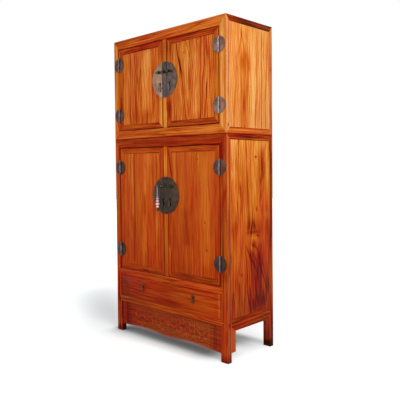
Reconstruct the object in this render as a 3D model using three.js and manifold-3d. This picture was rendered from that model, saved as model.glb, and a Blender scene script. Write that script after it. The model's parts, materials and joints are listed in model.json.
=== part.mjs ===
// Compound cabinet: an upper chest that stands on a lower cabinet with doors, a drawer and legs.
// Sizes are in millimetres. X runs along the front to the right, Y towards the back, Z up.
// The origin is the centre of the footprint, on the floor.

import * as THREE from 'three';
import { mergeVertices } from 'three/addons/utils/BufferGeometryUtils.js';
import Module from 'manifold-3d';

const wasm = await Module();
wasm.setup();

// Overall sizes
const cabinetWidth = 1120;
const cabinetDepth = 484;
const lowerHeight = 1460;
const upperHeight = 740;

// Clearances and overruns
const pieceGap = 0.3;
const overrun = 5;
const joinOverlap = 6;
const vertexTolerance = 1e-4;

// Posts and rails
const postWidth = 58;
const postDepth = 36;
const topRailHeight = 67;
const chestFootRailHeight = 63;
const sideTopRailHeight = 38;
const sideFootRailHeight = 40;
const sideRailThickness = 36;
const midRailTop = 485;
const midRailHeight = 48;
const bottomRailBase = 231;
const bottomRailHeight = 44;
const railTipLength = 22;

// Boards and panels
const sidePanelThickness = 12;
const sidePanelRecess = 1;
const backPanelThickness = 10;
const backPanelRecess = 12;
const topPanelThickness = 14;
const topPanelRecess = 3;
const boardThickness = 14;

// Doors and the loose posts between them
const doorThickness = 24;
const doorGap = 1.6;
const doorStileWidth = 42;
const doorRailHeight = 40;
const doorPanelRecess = 1.5;
const doorPanelThickness = 14;
const tongueLength = 8;
const tongueThickness = 5;
const tongueSetback = 6;
const centrePostWidth = 44;
const centrePostDepth = 28;

// Drawer
const drawerGap = 1.6;
const drawerFrontThickness = 22;
const drawerSideInset = 6;
const drawerBoxDepth = 400;
const drawerBoxHeight = 124;
const drawerWall = 12;
const drawerBottomThickness = 8;
const drawerRunGap = 0.5;
const guideThickness = 12;
const guideHeight = 18;
const guideClearance = 1;

// Aprons under the lower cabinet
const apronThickness = 18;
const apronRecess = 6;
const apronDepth = 177;
const apronCurvePoints = 12;
const apronLengthShares = [0, 0.12, 0.24, 0.34, 0.46, 0.62, 0.8, 1];
const apronDepthShares = [0.977, 0.966, 0.938, 0.924, 0.918, 0.927, 0.963, 1];
const sideApronThickness = 20;
const sideApronRecess = 1;
const sideApronDepth = 35;
const spandrelWidth = 42;
const spandrelBase = 62;

// Round hinges
const hingeRadius = 53;
const hingePlateThickness = 2;
const barrelRadius = 5.5;
const barrelLength = 104;
const hingePinRadius = 2.6;
const hingePinClearance = 0.4;
const knuckleGap = 0.5;
const middleKnuckleLength = 52;
const upperHingeInset = 115;
const lowerHingeInset = 145;

// Round lock plates with their staples
const lockPlateThickness = 2;
const lockPlateEdgeInset = 0.4;
const upperPlateRadius = 124;
const upperPlateRise = 27;
const upperStapleRise = 54;
const lowerPlateRadius = 130;
const lowerPlateRise = 114;
const lowerStapleRise = 65;
const stapleOffset = 50;
const stapleWidth = 18;
const stapleWall = 3.6;
const barStand = 14;
const barRadius = 4.5;
const barClearance = 0.5;

// Lock bar and the bead string on it
const barHalfLength = 76;
const barKnobRadius = 6.5;
const barKnobLength = 5;
const stringOffset = 63;
const stringRadius = 1.5;
const stringTopRise = 3;
const firstBeadDrop = 71;
const beadSpacing = 1;
const beadRadii = [6, 9, 12, 13.5, 11];
const beadHalfHeights = [5, 7, 9, 10, 8];
const tasselLength = 23;
const tasselRadius = 7;

// Drop pulls
const upperPullOffset = 45;
const upperPullWidth = 28;
const lowerPullOffset = 36.2;
const lowerPullWidth = 24;
const drawerPullOffset = 255;
const drawerPullWidth = 26;
const drawerPullRise = 24;
const drawerPullLength = 46;
const pullDrop = 24;
const pullLength = 60;
const pullThickness = 3;
const pullNeckWidth = 6;
const pullNeckLength = 8;
const eyeStand = 4.4;
const eyeRadius = 3.6;
const eyePinRadius = 2;
const eyePinClearance = 0.4;
const eyeWidth = 8;
const earThickness = 3;
const fittingRoot = 1.5;
const rosetteRadius = 16;
const rosetteThickness = 2.5;

// Facets of the round shapes
const discFacets = 48;
const rosetteFacets = 24;
const barrelFacets = 16;
const pinFacets = 12;
const leafFacets = 8;
const beadFacets = 10;
const beadRings = 4;

// Places that follow from the sizes
const halfWidth = cabinetWidth / 2;
const halfDepth = cabinetDepth / 2;
const frontY = -halfDepth;
const openingHalf = halfWidth - postWidth;
const bayHalfDepth = halfDepth - postDepth;
const platePlaneY = frontY - pieceGap;
const sidePanelInner = halfWidth - sidePanelRecess - sidePanelThickness;
const backPanelFront = halfDepth - backPanelRecess - backPanelThickness;
const drawerFloor = bottomRailBase + bottomRailHeight;
const midRailBase = midRailTop - midRailHeight;
const hingeAxisX = openingHalf - doorGap / 2;
const hingeAxisY = platePlaneY - barrelRadius;
const leafInset = barrelRadius + knuckleGap;
const doorInnerEdge = centrePostWidth / 2 + doorGap;
const doorOuterEdge = openingHalf - doorGap;
const doorPlateEdge = doorInnerEdge + lockPlateEdgeInset;
const centrePlateEdge = centrePostWidth / 2 - lockPlateEdgeInset;
const sides = [{ word: 'left', sign: -1 }, { word: 'right', sign: 1 }];

// The two cases, each described from its own base
const lowerCase = {
  word: 'lower',
  base: 0,
  height: lowerHeight,
  mitredFoot: false,
  openingBase: midRailTop,
  panelBase: drawerFloor,
  backBase: drawerFloor,
  hingeInset: lowerHingeInset,
  plateRadius: lowerPlateRadius,
  plateRise: lowerPlateRise,
  stapleRise: lowerStapleRise,
  pullOffset: lowerPullOffset,
  pullWidth: lowerPullWidth,
  hasBar: true,
};
const upperCase = {
  word: 'upper',
  base: lowerHeight + pieceGap,
  height: upperHeight - pieceGap,
  mitredFoot: true,
  openingBase: chestFootRailHeight,
  panelBase: sideFootRailHeight,
  backBase: chestFootRailHeight,
  hingeInset: upperHingeInset,
  plateRadius: upperPlateRadius,
  plateRise: upperPlateRise,
  stapleRise: upperStapleRise,
  pullOffset: upperPullOffset,
  pullWidth: upperPullWidth,
  hasBar: false,
};

// Materials
const woods = {
  post: new THREE.MeshStandardMaterial({ color: '#b8551f', roughness: 0.35, metalness: 0 }),
  rail: new THREE.MeshStandardMaterial({ color: '#a03c18', roughness: 0.35, metalness: 0 }),
  panel: new THREE.MeshStandardMaterial({ color: '#c96f2c', roughness: 0.38, metalness: 0 }),
  door: new THREE.MeshStandardMaterial({ color: '#a9451b', roughness: 0.35, metalness: 0 }),
  inside: new THREE.MeshStandardMaterial({ color: '#a8703f', roughness: 0.7, metalness: 0 }),
};
const bronze = new THREE.MeshStandardMaterial({ color: '#55504b', roughness: 0.45, metalness: 0.9 });
const brightMetal = new THREE.MeshStandardMaterial({ color: '#8c8983', roughness: 0.35, metalness: 0.95 });
const beadGlass = new THREE.MeshStandardMaterial({ color: '#e3a9ab', roughness: 0.4, metalness: 0 });

// Joining and cutting
function solidFrom(geometry) {
  geometry.deleteAttribute('normal');
  geometry.deleteAttribute('uv');
  const merged = mergeVertices(geometry, vertexTolerance);
  const vertProperties = new Float32Array(merged.attributes.position.array);
  const triVerts = new Uint32Array(merged.index.array);
  return new wasm.Manifold(new wasm.Mesh({ numProp: 3, vertProperties, triVerts }));
}

function geometryFrom(solid) {
  const { vertProperties, triVerts } = solid.getMesh();
  const indexed = new THREE.BufferGeometry();
  indexed.setAttribute('position', new THREE.BufferAttribute(vertProperties, 3));
  indexed.setIndex(new THREE.BufferAttribute(triVerts, 1));
  const geometry = indexed.toNonIndexed();
  geometry.computeVertexNormals();
  return geometry;
}

function joined(solids) {
  return solids.reduce((whole, solid) => whole.add(solid));
}

// Boxes and prisms. A span is a pair of coordinates in either order.
function box(spanX, spanY, spanZ) {
  const spans = [spanX, spanY, spanZ];
  const sizes = spans.map(([a, b]) => Math.abs(b - a));
  const centres = spans.map(([a, b]) => (a + b) / 2);
  return solidFrom(new THREE.BoxGeometry(...sizes).translate(...centres));
}

function extruded(outline, depth) {
  const shape = new THREE.Shape(outline.map(([u, v]) => new THREE.Vector2(u, v)));
  return new THREE.ExtrudeGeometry(shape, { depth, bevelEnabled: false, curveSegments: 1 });
}

const axisX = new THREE.Vector3(1, 0, 0);
const axisY = new THREE.Vector3(0, 1, 0);
const axisZ = new THREE.Vector3(0, 0, 1);

// An outline in X and Z, run along Y
function prismAlongY(outline, spanY) {
  const turn = new THREE.Matrix4().makeBasis(axisX, axisZ, axisY.clone().negate());
  const geometry = extruded(outline, Math.abs(spanY[1] - spanY[0])).applyMatrix4(turn);
  return solidFrom(geometry.translate(0, Math.max(...spanY), 0));
}

// An outline in Y and Z, run along X
function prismAlongX(outline, spanX) {
  const turn = new THREE.Matrix4().makeBasis(axisY, axisZ, axisX);
  const geometry = extruded(outline, Math.abs(spanX[1] - spanX[0])).applyMatrix4(turn);
  return solidFrom(geometry.translate(Math.min(...spanX), 0, 0));
}

// Round bars along Z and along X, about a centre line
function barAlongZ(radius, spanZ, facets) {
  const geometry = new THREE.CylinderGeometry(radius, radius, Math.abs(spanZ[1] - spanZ[0]), facets);
  return solidFrom(geometry.rotateX(Math.PI / 2).translate(0, 0, (spanZ[0] + spanZ[1]) / 2));
}

function barAlongX(radius, spanX, facets, y = 0, z = 0) {
  const geometry = new THREE.CylinderGeometry(radius, radius, Math.abs(spanX[1] - spanX[0]), facets);
  return solidFrom(geometry.rotateZ(Math.PI / 2).translate((spanX[0] + spanX[1]) / 2, y, z));
}

// A round disc standing in X and Z, run along Y
function discAlongY(radius, spanY, facets, x = 0, z = 0) {
  const geometry = new THREE.CylinderGeometry(radius, radius, Math.abs(spanY[1] - spanY[0]), facets);
  return solidFrom(geometry.translate(x, (spanY[0] + spanY[1]) / 2, z));
}

function addPart(group, name, solid, material, position = [0, 0, 0], turnY = 0) {
  const mesh = new THREE.Mesh(geometryFrom(solid), material);
  mesh.name = name;
  mesh.position.set(...position);
  mesh.rotation.y = turnY;
  group.add(mesh);
}

// How far a face cut back by the piece gap drops, on a mitre of this run and rise
function mitreDrop(run, rise) {
  return (pieceGap * Math.hypot(run, rise)) / run;
}

// One post, mitred where it meets the rails of a case's top, and of the upper chest's foot
function postSolid(spec, sign, end) {
  const faceDrop = mitreDrop(postWidth, topRailHeight);
  const flankDrop = mitreDrop(postDepth, sideTopRailHeight);
  const footRise = spec.mitredFoot ? chestFootRailHeight : 0;
  const flankRise = spec.mitredFoot ? sideFootRailHeight : 0;
  const footDrop = spec.mitredFoot ? mitreDrop(postWidth, chestFootRailHeight) : 0;
  const flankFootDrop = spec.mitredFoot ? mitreDrop(postDepth, sideFootRailHeight) : 0;
  const face = [
    [sign * halfWidth, footDrop],
    [sign * openingHalf, footRise + footDrop],
    [sign * openingHalf, spec.height - topRailHeight - faceDrop],
    [sign * halfWidth, spec.height - faceDrop],
  ];
  const flank = [
    [end * halfDepth, flankFootDrop],
    [end * bayHalfDepth, flankRise + flankFootDrop],
    [end * bayHalfDepth, spec.height - sideTopRailHeight - flankDrop],
    [end * halfDepth, spec.height - flankDrop],
  ];
  const acrossY = [end * (halfDepth + overrun), end * (bayHalfDepth - overrun)];
  const acrossX = [sign * (halfWidth + overrun), sign * (openingHalf - overrun)];
  return prismAlongY(face, acrossY).intersect(prismAlongX(flank, acrossX));
}

// The pointed shoulder of a front rail, and the notch it needs in a post
function tipNotch(sign, base, height) {
  const half = height / 2;
  const shift = (pieceGap * Math.hypot(half, railTipLength)) / half;
  const mouth = half * (1 + (overrun + shift) / railTipLength);
  const middle = base + half;
  const outline = [
    [sign * (openingHalf - overrun), middle - mouth],
    [sign * (openingHalf + railTipLength + shift), middle],
    [sign * (openingHalf - overrun), middle + mouth],
  ];
  return prismAlongY(outline, [frontY - overrun, frontY + postDepth + overrun]);
}

function pointedRail(base, height) {
  const tip = openingHalf + railTipLength;
  const outline = [
    [-openingHalf, base],
    [openingHalf, base],
    [tip, base + height / 2],
    [openingHalf, base + height],
    [-openingHalf, base + height],
    [-tip, base + height / 2],
  ];
  return prismAlongY(outline, [frontY, frontY + postDepth]);
}

// The four rails round the top or the foot of a case, with their ends mitred
function mitredRails(edgeZ, frontInnerZ, sideInnerZ) {
  const face = [
    [-halfWidth, edgeZ],
    [halfWidth, edgeZ],
    [openingHalf, frontInnerZ],
    [-openingHalf, frontInnerZ],
  ];
  const flank = [
    [-halfDepth, edgeZ],
    [halfDepth, edgeZ],
    [bayHalfDepth, sideInnerZ],
    [-bayHalfDepth, sideInnerZ],
  ];
  return [-1, 1].flatMap((sign) => [
    prismAlongY(face, [sign * halfDepth, sign * bayHalfDepth]),
    prismAlongX(flank, [sign * halfWidth, sign * (halfWidth - sideRailThickness)]),
  ]);
}

function topBoard(spec) {
  const top = spec.height;
  const panelHalfX = halfWidth - sideRailThickness + joinOverlap;
  const panelHalfY = bayHalfDepth + joinOverlap;
  const panelTop = top - topPanelRecess;
  const spanZ = [panelTop - topPanelThickness, panelTop];
  const panel = box([-panelHalfX, panelHalfX], [-panelHalfY, panelHalfY], spanZ);
  return joined([...mitredRails(top, top - topRailHeight, top - sideTopRailHeight), panel]);
}

// A board between the four posts, notched round them, with its top at topZ
function notchedBoard(topZ, reachX, frontReach, backReach) {
  const spanZ = [topZ - boardThickness, topZ];
  const narrow = openingHalf - pieceGap;
  const bay = bayHalfDepth - pieceGap;
  const wide = box([-reachX, reachX], [-bay, bay], spanZ);
  return wide.add(box([-narrow, narrow], [-frontReach, backReach], spanZ));
}

function upperBottomFrame() {
  const reachX = sidePanelInner - pieceGap;
  const reachY = bayHalfDepth + joinOverlap;
  return joined([
    ...mitredRails(0, chestFootRailHeight, sideFootRailHeight),
    notchedBoard(chestFootRailHeight, reachX, reachY, reachY),
  ]);
}

const drawerBoxHalf = openingHalf - drawerGap - drawerSideInset;

function lowerBottomFrame() {
  const spanZ = [bottomRailBase, drawerFloor];
  const bay = bayHalfDepth - pieceGap;
  const narrow = openingHalf - pieceGap;
  const sideRailInner = halfWidth - sideRailThickness;
  const guideInner = drawerBoxHalf + guideClearance;
  const reachY = bayHalfDepth + joinOverlap;
  const sideRails = sides.map(({ sign }) =>
    box([sign * sideRailInner, sign * halfWidth], [-bay, bay], spanZ),
  );
  const guides = sides.map(({ sign }) =>
    box(
      [sign * guideInner, sign * (guideInner + guideThickness)],
      [-bay, bay],
      [drawerFloor - joinOverlap, drawerFloor + guideHeight],
    ),
  );
  return joined([
    pointedRail(bottomRailBase, bottomRailHeight),
    box([-narrow, narrow], [bayHalfDepth, halfDepth], spanZ),
    ...sideRails,
    notchedBoard(drawerFloor, sideRailInner + joinOverlap, reachY, reachY),
    ...guides,
  ]);
}

function lowerDeck() {
  const reachX = sidePanelInner - pieceGap;
  const board = notchedBoard(midRailTop, reachX, bayHalfDepth + joinOverlap, backPanelFront - pieceGap);
  return pointedRail(midRailBase, midRailHeight).add(board);
}

function sidePanel(spec) {
  const outer = halfWidth - sidePanelRecess;
  const bay = bayHalfDepth - pieceGap;
  const middle = (sidePanelInner + outer) / 2;
  const spanX = [sidePanelInner - middle, outer - middle];
  const spanZ = [spec.panelBase + pieceGap, spec.height - sideTopRailHeight - pieceGap];
  return { solid: box(spanX, [-bay, bay], spanZ), middle };
}

// The back: its two posts with the panel between them
function backFrame(spec) {
  const panelHalf = openingHalf + joinOverlap;
  const spanY = [backPanelFront, backPanelFront + backPanelThickness];
  const spanZ = [spec.backBase + pieceGap, spec.height - topRailHeight - pieceGap];
  return joined([
    ...sides.map(({ sign }) => postSolid(spec, sign, 1)),
    box([-panelHalf, panelHalf], spanY, spanZ),
  ]);
}

function centrePost(spec) {
  const half = centrePostWidth / 2;
  const spanZ = [spec.openingBase + pieceGap, spec.height - topRailHeight - pieceGap];
  return box([-half, half], [frontY, frontY + centrePostDepth], spanZ);
}

// Aprons
function frontApron() {
  const half = openingHalf - pieceGap;
  const top = bottomRailBase - pieceGap;
  const halfEdge = apronLengthShares.map(
    (share, i) => new THREE.Vector2(half * share, bottomRailBase - apronDepth * apronDepthShares[i]),
  );
  const edge = new THREE.SplineCurve(halfEdge).getPoints(apronCurvePoints).map((p) => [p.x, p.y]);
  const mirrored = edge.slice(1).map(([x, z]) => [-x, z]);
  const outline = [[half, top], [-half, top], ...mirrored.reverse(), ...edge];
  return prismAlongY(outline, [frontY + apronRecess, frontY + apronRecess + apronThickness]);
}

function sideApron(sign) {
  const end = bayHalfDepth - pieceGap;
  const inner = end - spandrelWidth;
  const top = bottomRailBase - pieceGap;
  const band = bottomRailBase - sideApronDepth;
  const outline = [
    [-end, top],
    [-end, spandrelBase],
    [-inner, spandrelBase],
    [-inner, band],
    [inner, band],
    [inner, spandrelBase],
    [end, spandrelBase],
    [end, top],
  ];
  const outer = halfWidth - sideApronRecess;
  return prismAlongX(outline, [sign * outer, sign * (outer - sideApronThickness)]);
}

// Doors: a frame grooved for the tongue of its panel, both about the door's middle
function doorSize(spec) {
  const width = doorOuterEdge - doorInnerEdge;
  const base = spec.openingBase + doorGap;
  const height = spec.height - topRailHeight - doorGap - base;
  return { width, height, middleX: doorInnerEdge + width / 2, middleZ: base + height / 2 };
}

function centredBox(width, spanY, height) {
  return box([-width / 2, width / 2], spanY, [-height / 2, height / 2]);
}

function doorFrame(spec) {
  const { width, height } = doorSize(spec);
  const windowWidth = width - 2 * doorStileWidth;
  const windowHeight = height - 2 * doorRailHeight;
  const grooveReach = 2 * (tongueLength + pieceGap);
  const grooveSpan = [tongueSetback - pieceGap, tongueSetback + tongueThickness + pieceGap];
  return centredBox(width, [0, doorThickness], height)
    .subtract(centredBox(windowWidth, [-overrun, doorThickness + overrun], windowHeight))
    .subtract(centredBox(windowWidth + grooveReach, grooveSpan, windowHeight + grooveReach));
}

function doorPanel(spec) {
  const { width, height } = doorSize(spec);
  const fieldWidth = width - 2 * (doorStileWidth + pieceGap);
  const fieldHeight = height - 2 * (doorRailHeight + pieceGap);
  const tongueReach = 2 * tongueLength;
  const fieldSpan = [doorPanelRecess, doorPanelRecess + doorPanelThickness];
  const field = centredBox(fieldWidth, fieldSpan, fieldHeight);
  const tongueSpan = [tongueSetback, tongueSetback + tongueThickness];
  return field.add(centredBox(fieldWidth + tongueReach, tongueSpan, fieldHeight + tongueReach));
}

// Hinges about their own axis, for the right-hand side: the post lies at +X
function roundPlate(spanY) {
  return discAlongY(hingeRadius, spanY, discFacets);
}

const leafSpanY = [barrelRadius - hingePlateThickness, barrelRadius];

function fixedLeaf() {
  const reach = hingeRadius + overrun;
  const middle = middleKnuckleLength / 2 + knuckleGap;
  const cutSpanY = [leafSpanY[0] - overrun, leafSpanY[1] + overrun];
  const plate = roundPlate(leafSpanY)
    .intersect(box([0, reach], cutSpanY, [-reach, reach]))
    .subtract(box([-overrun, leafInset], cutSpanY, [-middle, middle]));
  const half = barrelLength / 2;
  return joined([
    plate,
    barAlongZ(barrelRadius, [middle, half], barrelFacets),
    barAlongZ(barrelRadius, [-half, -middle], barrelFacets),
    barAlongZ(hingePinRadius, [-half + joinOverlap, half - joinOverlap], pinFacets),
  ]);
}

function movingLeaf() {
  const reach = hingeRadius + overrun;
  const middle = middleKnuckleLength / 2;
  const cutSpanY = [leafSpanY[0] - overrun, leafSpanY[1] + overrun];
  const plate = [-1, 1].reduce(
    (solid, sign) => solid.subtract(box([-leafInset, overrun], cutSpanY, [sign * middle, sign * reach])),
    roundPlate(leafSpanY).intersect(box([-reach, 0], cutSpanY, [-reach, reach])),
  );
  const bore = barAlongZ(hingePinRadius + hingePinClearance, [-reach, reach], pinFacets);
  return plate.add(barAlongZ(barrelRadius, [-middle, middle], barrelFacets)).subtract(bore);
}

// Ears and pin that carry a drop pull, standing from a face at faceY
function pullEye(x, faceY, z) {
  const earInner = eyeWidth / 2 + eyePinClearance;
  const earOuter = earInner + earThickness;
  const pinReach = earInner + earThickness / 2;
  const earSpanY = [faceY + fittingRoot, faceY - eyeStand - eyeRadius];
  const ears = [-1, 1].map((sign) =>
    box([x + sign * earInner, x + sign * earOuter], earSpanY, [z - eyeRadius, z + eyeRadius]),
  );
  const pin = barAlongX(eyePinRadius, [x - pinReach, x + pinReach], pinFacets, faceY - eyeStand, z);
  return joined([...ears, pin]);
}

// A drop pull about its pin: a knuckle with a pointed leaf under it
function dropPull(width, length) {
  const half = width / 2;
  const neck = pullNeckWidth / 2;
  const curve = new THREE.CubicBezierCurve(
    new THREE.Vector2(neck, -pullNeckLength),
    new THREE.Vector2(half + neck, -length / 2),
    new THREE.Vector2(half + neck, half - length),
    new THREE.Vector2(0, -length),
  );
  const right = [[neck, 0], ...curve.getPoints(leafFacets).map((p) => [p.x, p.y])];
  const left = right.slice(0, -1).map(([x, z]) => [-x, z]);
  const leaf = prismAlongY([...right, ...left.reverse()], [-pullThickness / 2, pullThickness / 2]);
  const knuckle = barAlongX(eyeRadius, [-eyeWidth / 2, eyeWidth / 2], pinFacets);
  const bore = barAlongX(eyePinRadius + eyePinClearance, [-half, half], pinFacets);
  return leaf.add(knuckle).subtract(bore);
}

// A staple that stands from a lock plate. A bored one takes the sliding bar, and the others
// hold their own stretch of it.
function staple(x, z, barSpan) {
  const outer = barRadius + barClearance + stapleWall;
  const barY = -lockPlateThickness - barStand;
  const spanX = [x - stapleWidth / 2, x + stapleWidth / 2];
  const root = fittingRoot - lockPlateThickness;
  const head = barAlongX(outer, spanX, barrelFacets, barY, z);
  const block = head.add(box(spanX, [barY, root], [z - outer, z + outer]));
  if (barSpan) {
    return block.add(barAlongX(barRadius, barSpan, barrelFacets, barY, z));
  }
  const boreSpan = [spanX[0] - overrun, spanX[1] + overrun];
  return block.subtract(barAlongX(barRadius + barClearance, boreSpan, barrelFacets, barY, z));
}

// One segment of a round lock plate about the plate's centre, with its back at y = 0
function lockPlate(spec, spanX, stapleX, barSpan, pullX) {
  const reach = spec.plateRadius + overrun;
  const cutSpanY = [-lockPlateThickness - overrun, overrun];
  const disc = discAlongY(spec.plateRadius, [-lockPlateThickness, 0], discFacets);
  const segment = disc.intersect(box(spanX, cutSpanY, [-reach, reach]));
  const plate = segment.add(staple(stapleX, spec.stapleRise, barSpan));
  return pullX === undefined ? plate : plate.add(pullEye(pullX, -lockPlateThickness, -pullDrop));
}

// The part of the lock bar that slides on the left-hand door, from its knob to the door's edge
function lockBar() {
  const knob = barAlongX(barKnobRadius, [-barHalfLength, barKnobLength - barHalfLength], barrelFacets);
  return barAlongX(barRadius, [-barHalfLength, -doorPlateEdge], barrelFacets).add(knob);
}

// The bead string, turned about its own cord, which hangs down from z = 0
function beadString() {
  const profile = [[0, stringTopRise], [stringRadius, stringTopRise]];
  let top = -firstBeadDrop;
  beadRadii.forEach((radius, i) => {
    const half = beadHalfHeights[i];
    const start = Math.acos(stringRadius / radius);
    for (let ring = 0; ring <= beadRings; ring += 1) {
      const angle = start * (1 - (2 * ring) / beadRings);
      profile.push([radius * Math.cos(angle), top - half + half * Math.sin(angle)]);
    }
    top -= 2 * half + beadSpacing;
  });
  profile.push([stringRadius, top], [tasselRadius, top - tasselLength], [0, top - tasselLength]);
  const points = profile.reverse().map(([r, z]) => new THREE.Vector2(r, z));
  return solidFrom(new THREE.LatheGeometry(points, beadFacets).rotateX(Math.PI / 2));
}

// Drawer: the front carries the eyes of its two pulls, and the box stands behind it
const drawerFrontBase = drawerFloor + drawerGap;
const drawerFrontTop = midRailBase - drawerGap;
const drawerPullZ = (drawerFrontBase + drawerFrontTop) / 2 + drawerPullRise;

function drawerFront() {
  const half = openingHalf - drawerGap;
  const spanY = [frontY, frontY + drawerFrontThickness];
  const board = box([-half, half], spanY, [drawerFrontBase, drawerFrontTop]);
  const face = frontY - rosetteThickness;
  const discSpan = [face, frontY + fittingRoot];
  const fittings = sides.flatMap(({ sign }) => {
    const x = sign * drawerPullOffset;
    const rosette = discAlongY(rosetteRadius, discSpan, rosetteFacets, x, drawerPullZ);
    return [rosette, pullEye(x, face, drawerPullZ)];
  });
  return joined([board, ...fittings]);
}

function drawerBox() {
  const base = drawerFloor + drawerRunGap;
  const top = base + drawerBoxHeight;
  const front = frontY + drawerFrontThickness + pieceGap;
  const back = front + drawerBoxDepth;
  const inner = drawerBoxHalf - drawerWall;
  const spanZ = [base + drawerBottomThickness, top + overrun];
  const hollow = box([-inner, inner], [front + drawerWall, back - drawerWall], spanZ);
  return box([-drawerBoxHalf, drawerBoxHalf], [front, back], [base, top]).subtract(hollow);
}

// One door with its panel, its half of each hinge, its lock plate segment and its drop pull
function addDoor(caseGroup, spec, side) {
  const door = new THREE.Group();
  caseGroup.add(door);
  const { sign, word } = side;
  const name = `${spec.word}_${word}`;
  const { middleX, middleZ } = doorSize(spec);
  const middle = [sign * middleX, frontY, middleZ];
  const plateZ = middleZ + spec.plateRise;
  const plateSpan = [sign * doorPlateEdge, sign * (spec.plateRadius + overrun)];
  const bar = spec.hasBar && sign > 0 ? [doorPlateEdge, barHalfLength] : null;
  const pullX = sign * spec.pullOffset;
  addPart(door, `${name}_door_frame`, doorFrame(spec), woods.door, middle);
  addPart(door, `${name}_door_panel`, doorPanel(spec), woods.panel, middle);
  const segment = lockPlate(spec, plateSpan, sign * stapleOffset, bar, pullX);
  addPart(door, `${name}_lock_plate`, segment, bronze, [0, platePlaneY, plateZ]);
  const eye = [pullX, platePlaneY - lockPlateThickness - eyeStand, plateZ - pullDrop];
  addPart(door, `${name}_drop_pull`, dropPull(spec.pullWidth, pullLength), brightMetal, eye);
  addHinges(door, spec, side, 'moving_leaf', movingLeaf());
}

function addHinges(group, spec, side, leafName, leaf) {
  const heights = {
    bottom: spec.openingBase + spec.hingeInset,
    top: spec.height - topRailHeight - spec.hingeInset,
  };
  const turn = side.sign > 0 ? 0 : Math.PI;
  Object.entries(heights).forEach(([word, z]) => {
    const name = `${spec.word}_${side.word}_${word}_hinge_${leafName}`;
    addPart(group, name, leaf, bronze, [side.sign * hingeAxisX, hingeAxisY, z], turn);
  });
}

// What both cases have
function addCase(cabinet, spec) {
  const group = new THREE.Group();
  group.position.z = spec.base;
  cabinet.add(group);
  addPart(group, `${spec.word}_top_board`, topBoard(spec), woods.rail);
  addPart(group, `${spec.word}_back_frame`, backFrame(spec), woods.post);
  sides.forEach((side) => {
    const tips = [[midRailBase, midRailHeight], [bottomRailBase, bottomRailHeight]];
    const notches = spec.mitredFoot ? [] : tips.map(([base, height]) => tipNotch(side.sign, base, height));
    const post = notches.reduce((solid, notch) => solid.subtract(notch), postSolid(spec, side.sign, -1));
    addPart(group, `${spec.word}_front_${side.word}_post`, post, woods.post);
    const { solid, middle } = sidePanel(spec);
    addPart(group, `${spec.word}_${side.word}_side_panel`, solid, woods.panel, [side.sign * middle, 0, 0]);
    addHinges(group, spec, side, 'fixed_leaf', fixedLeaf());
    addDoor(group, spec, side);
  });
  addPart(group, `${spec.word}_centre_post`, centrePost(spec), woods.door);
  const plateZ = doorSize(spec).middleZ + spec.plateRise;
  const plateSpan = [-centrePlateEdge, centrePlateEdge];
  const centrePlate = lockPlate(spec, plateSpan, 0, spec.hasBar ? plateSpan : null);
  addPart(group, `${spec.word}_centre_lock_plate`, centrePlate, bronze, [0, platePlaneY, plateZ]);
  return group;
}

function addLowerPieces(group) {
  addPart(group, 'lower_deck', lowerDeck(), woods.rail);
  addPart(group, 'lower_bottom_frame', lowerBottomFrame(), woods.rail);
  addPart(group, 'front_apron', frontApron(), woods.rail);
  sides.forEach(({ word, sign }) => addPart(group, `${word}_side_apron`, sideApron(sign), woods.rail));
  const { middleZ } = doorSize(lowerCase);
  const barY = platePlaneY - lockPlateThickness - barStand;
  const barZ = middleZ + lowerPlateRise + lowerStapleRise;
  const stringY = barY - barRadius - pieceGap - stringRadius;
  addPart(group, 'lock_bar', lockBar(), brightMetal, [0, barY, barZ]);
  addPart(group, 'bead_string', beadString(), beadGlass, [-stringOffset, stringY, barZ]);
}

function addDrawer(group) {
  const drawer = new THREE.Group();
  group.add(drawer);
  addPart(drawer, 'drawer_front', drawerFront(), woods.door);
  addPart(drawer, 'drawer_box', drawerBox(), woods.inside);
  const pullY = frontY - rosetteThickness - eyeStand;
  sides.forEach(({ word, sign }) => {
    const pull = dropPull(drawerPullWidth, drawerPullLength);
    const place = [sign * drawerPullOffset, pullY, drawerPullZ];
    addPart(drawer, `drawer_${word}_pull`, pull, brightMetal, place);
  });
}

const cabinet = new THREE.Group();
const lowerGroup = addCase(cabinet, lowerCase);
addLowerPieces(lowerGroup);
addDrawer(lowerGroup);
const upperGroup = addCase(cabinet, upperCase);
addPart(upperGroup, 'upper_bottom_frame', upperBottomFrame(), woods.rail);

export default cabinet;
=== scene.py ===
# The looks of a compound cabinet: woods, metalwork, bead string, carved apron, floor, light, camera.
# Lengths are in metres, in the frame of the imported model, and colours are linear.

import json
import math

import bmesh
import bpy
from mathutils import Matrix, Vector, kdtree

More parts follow.
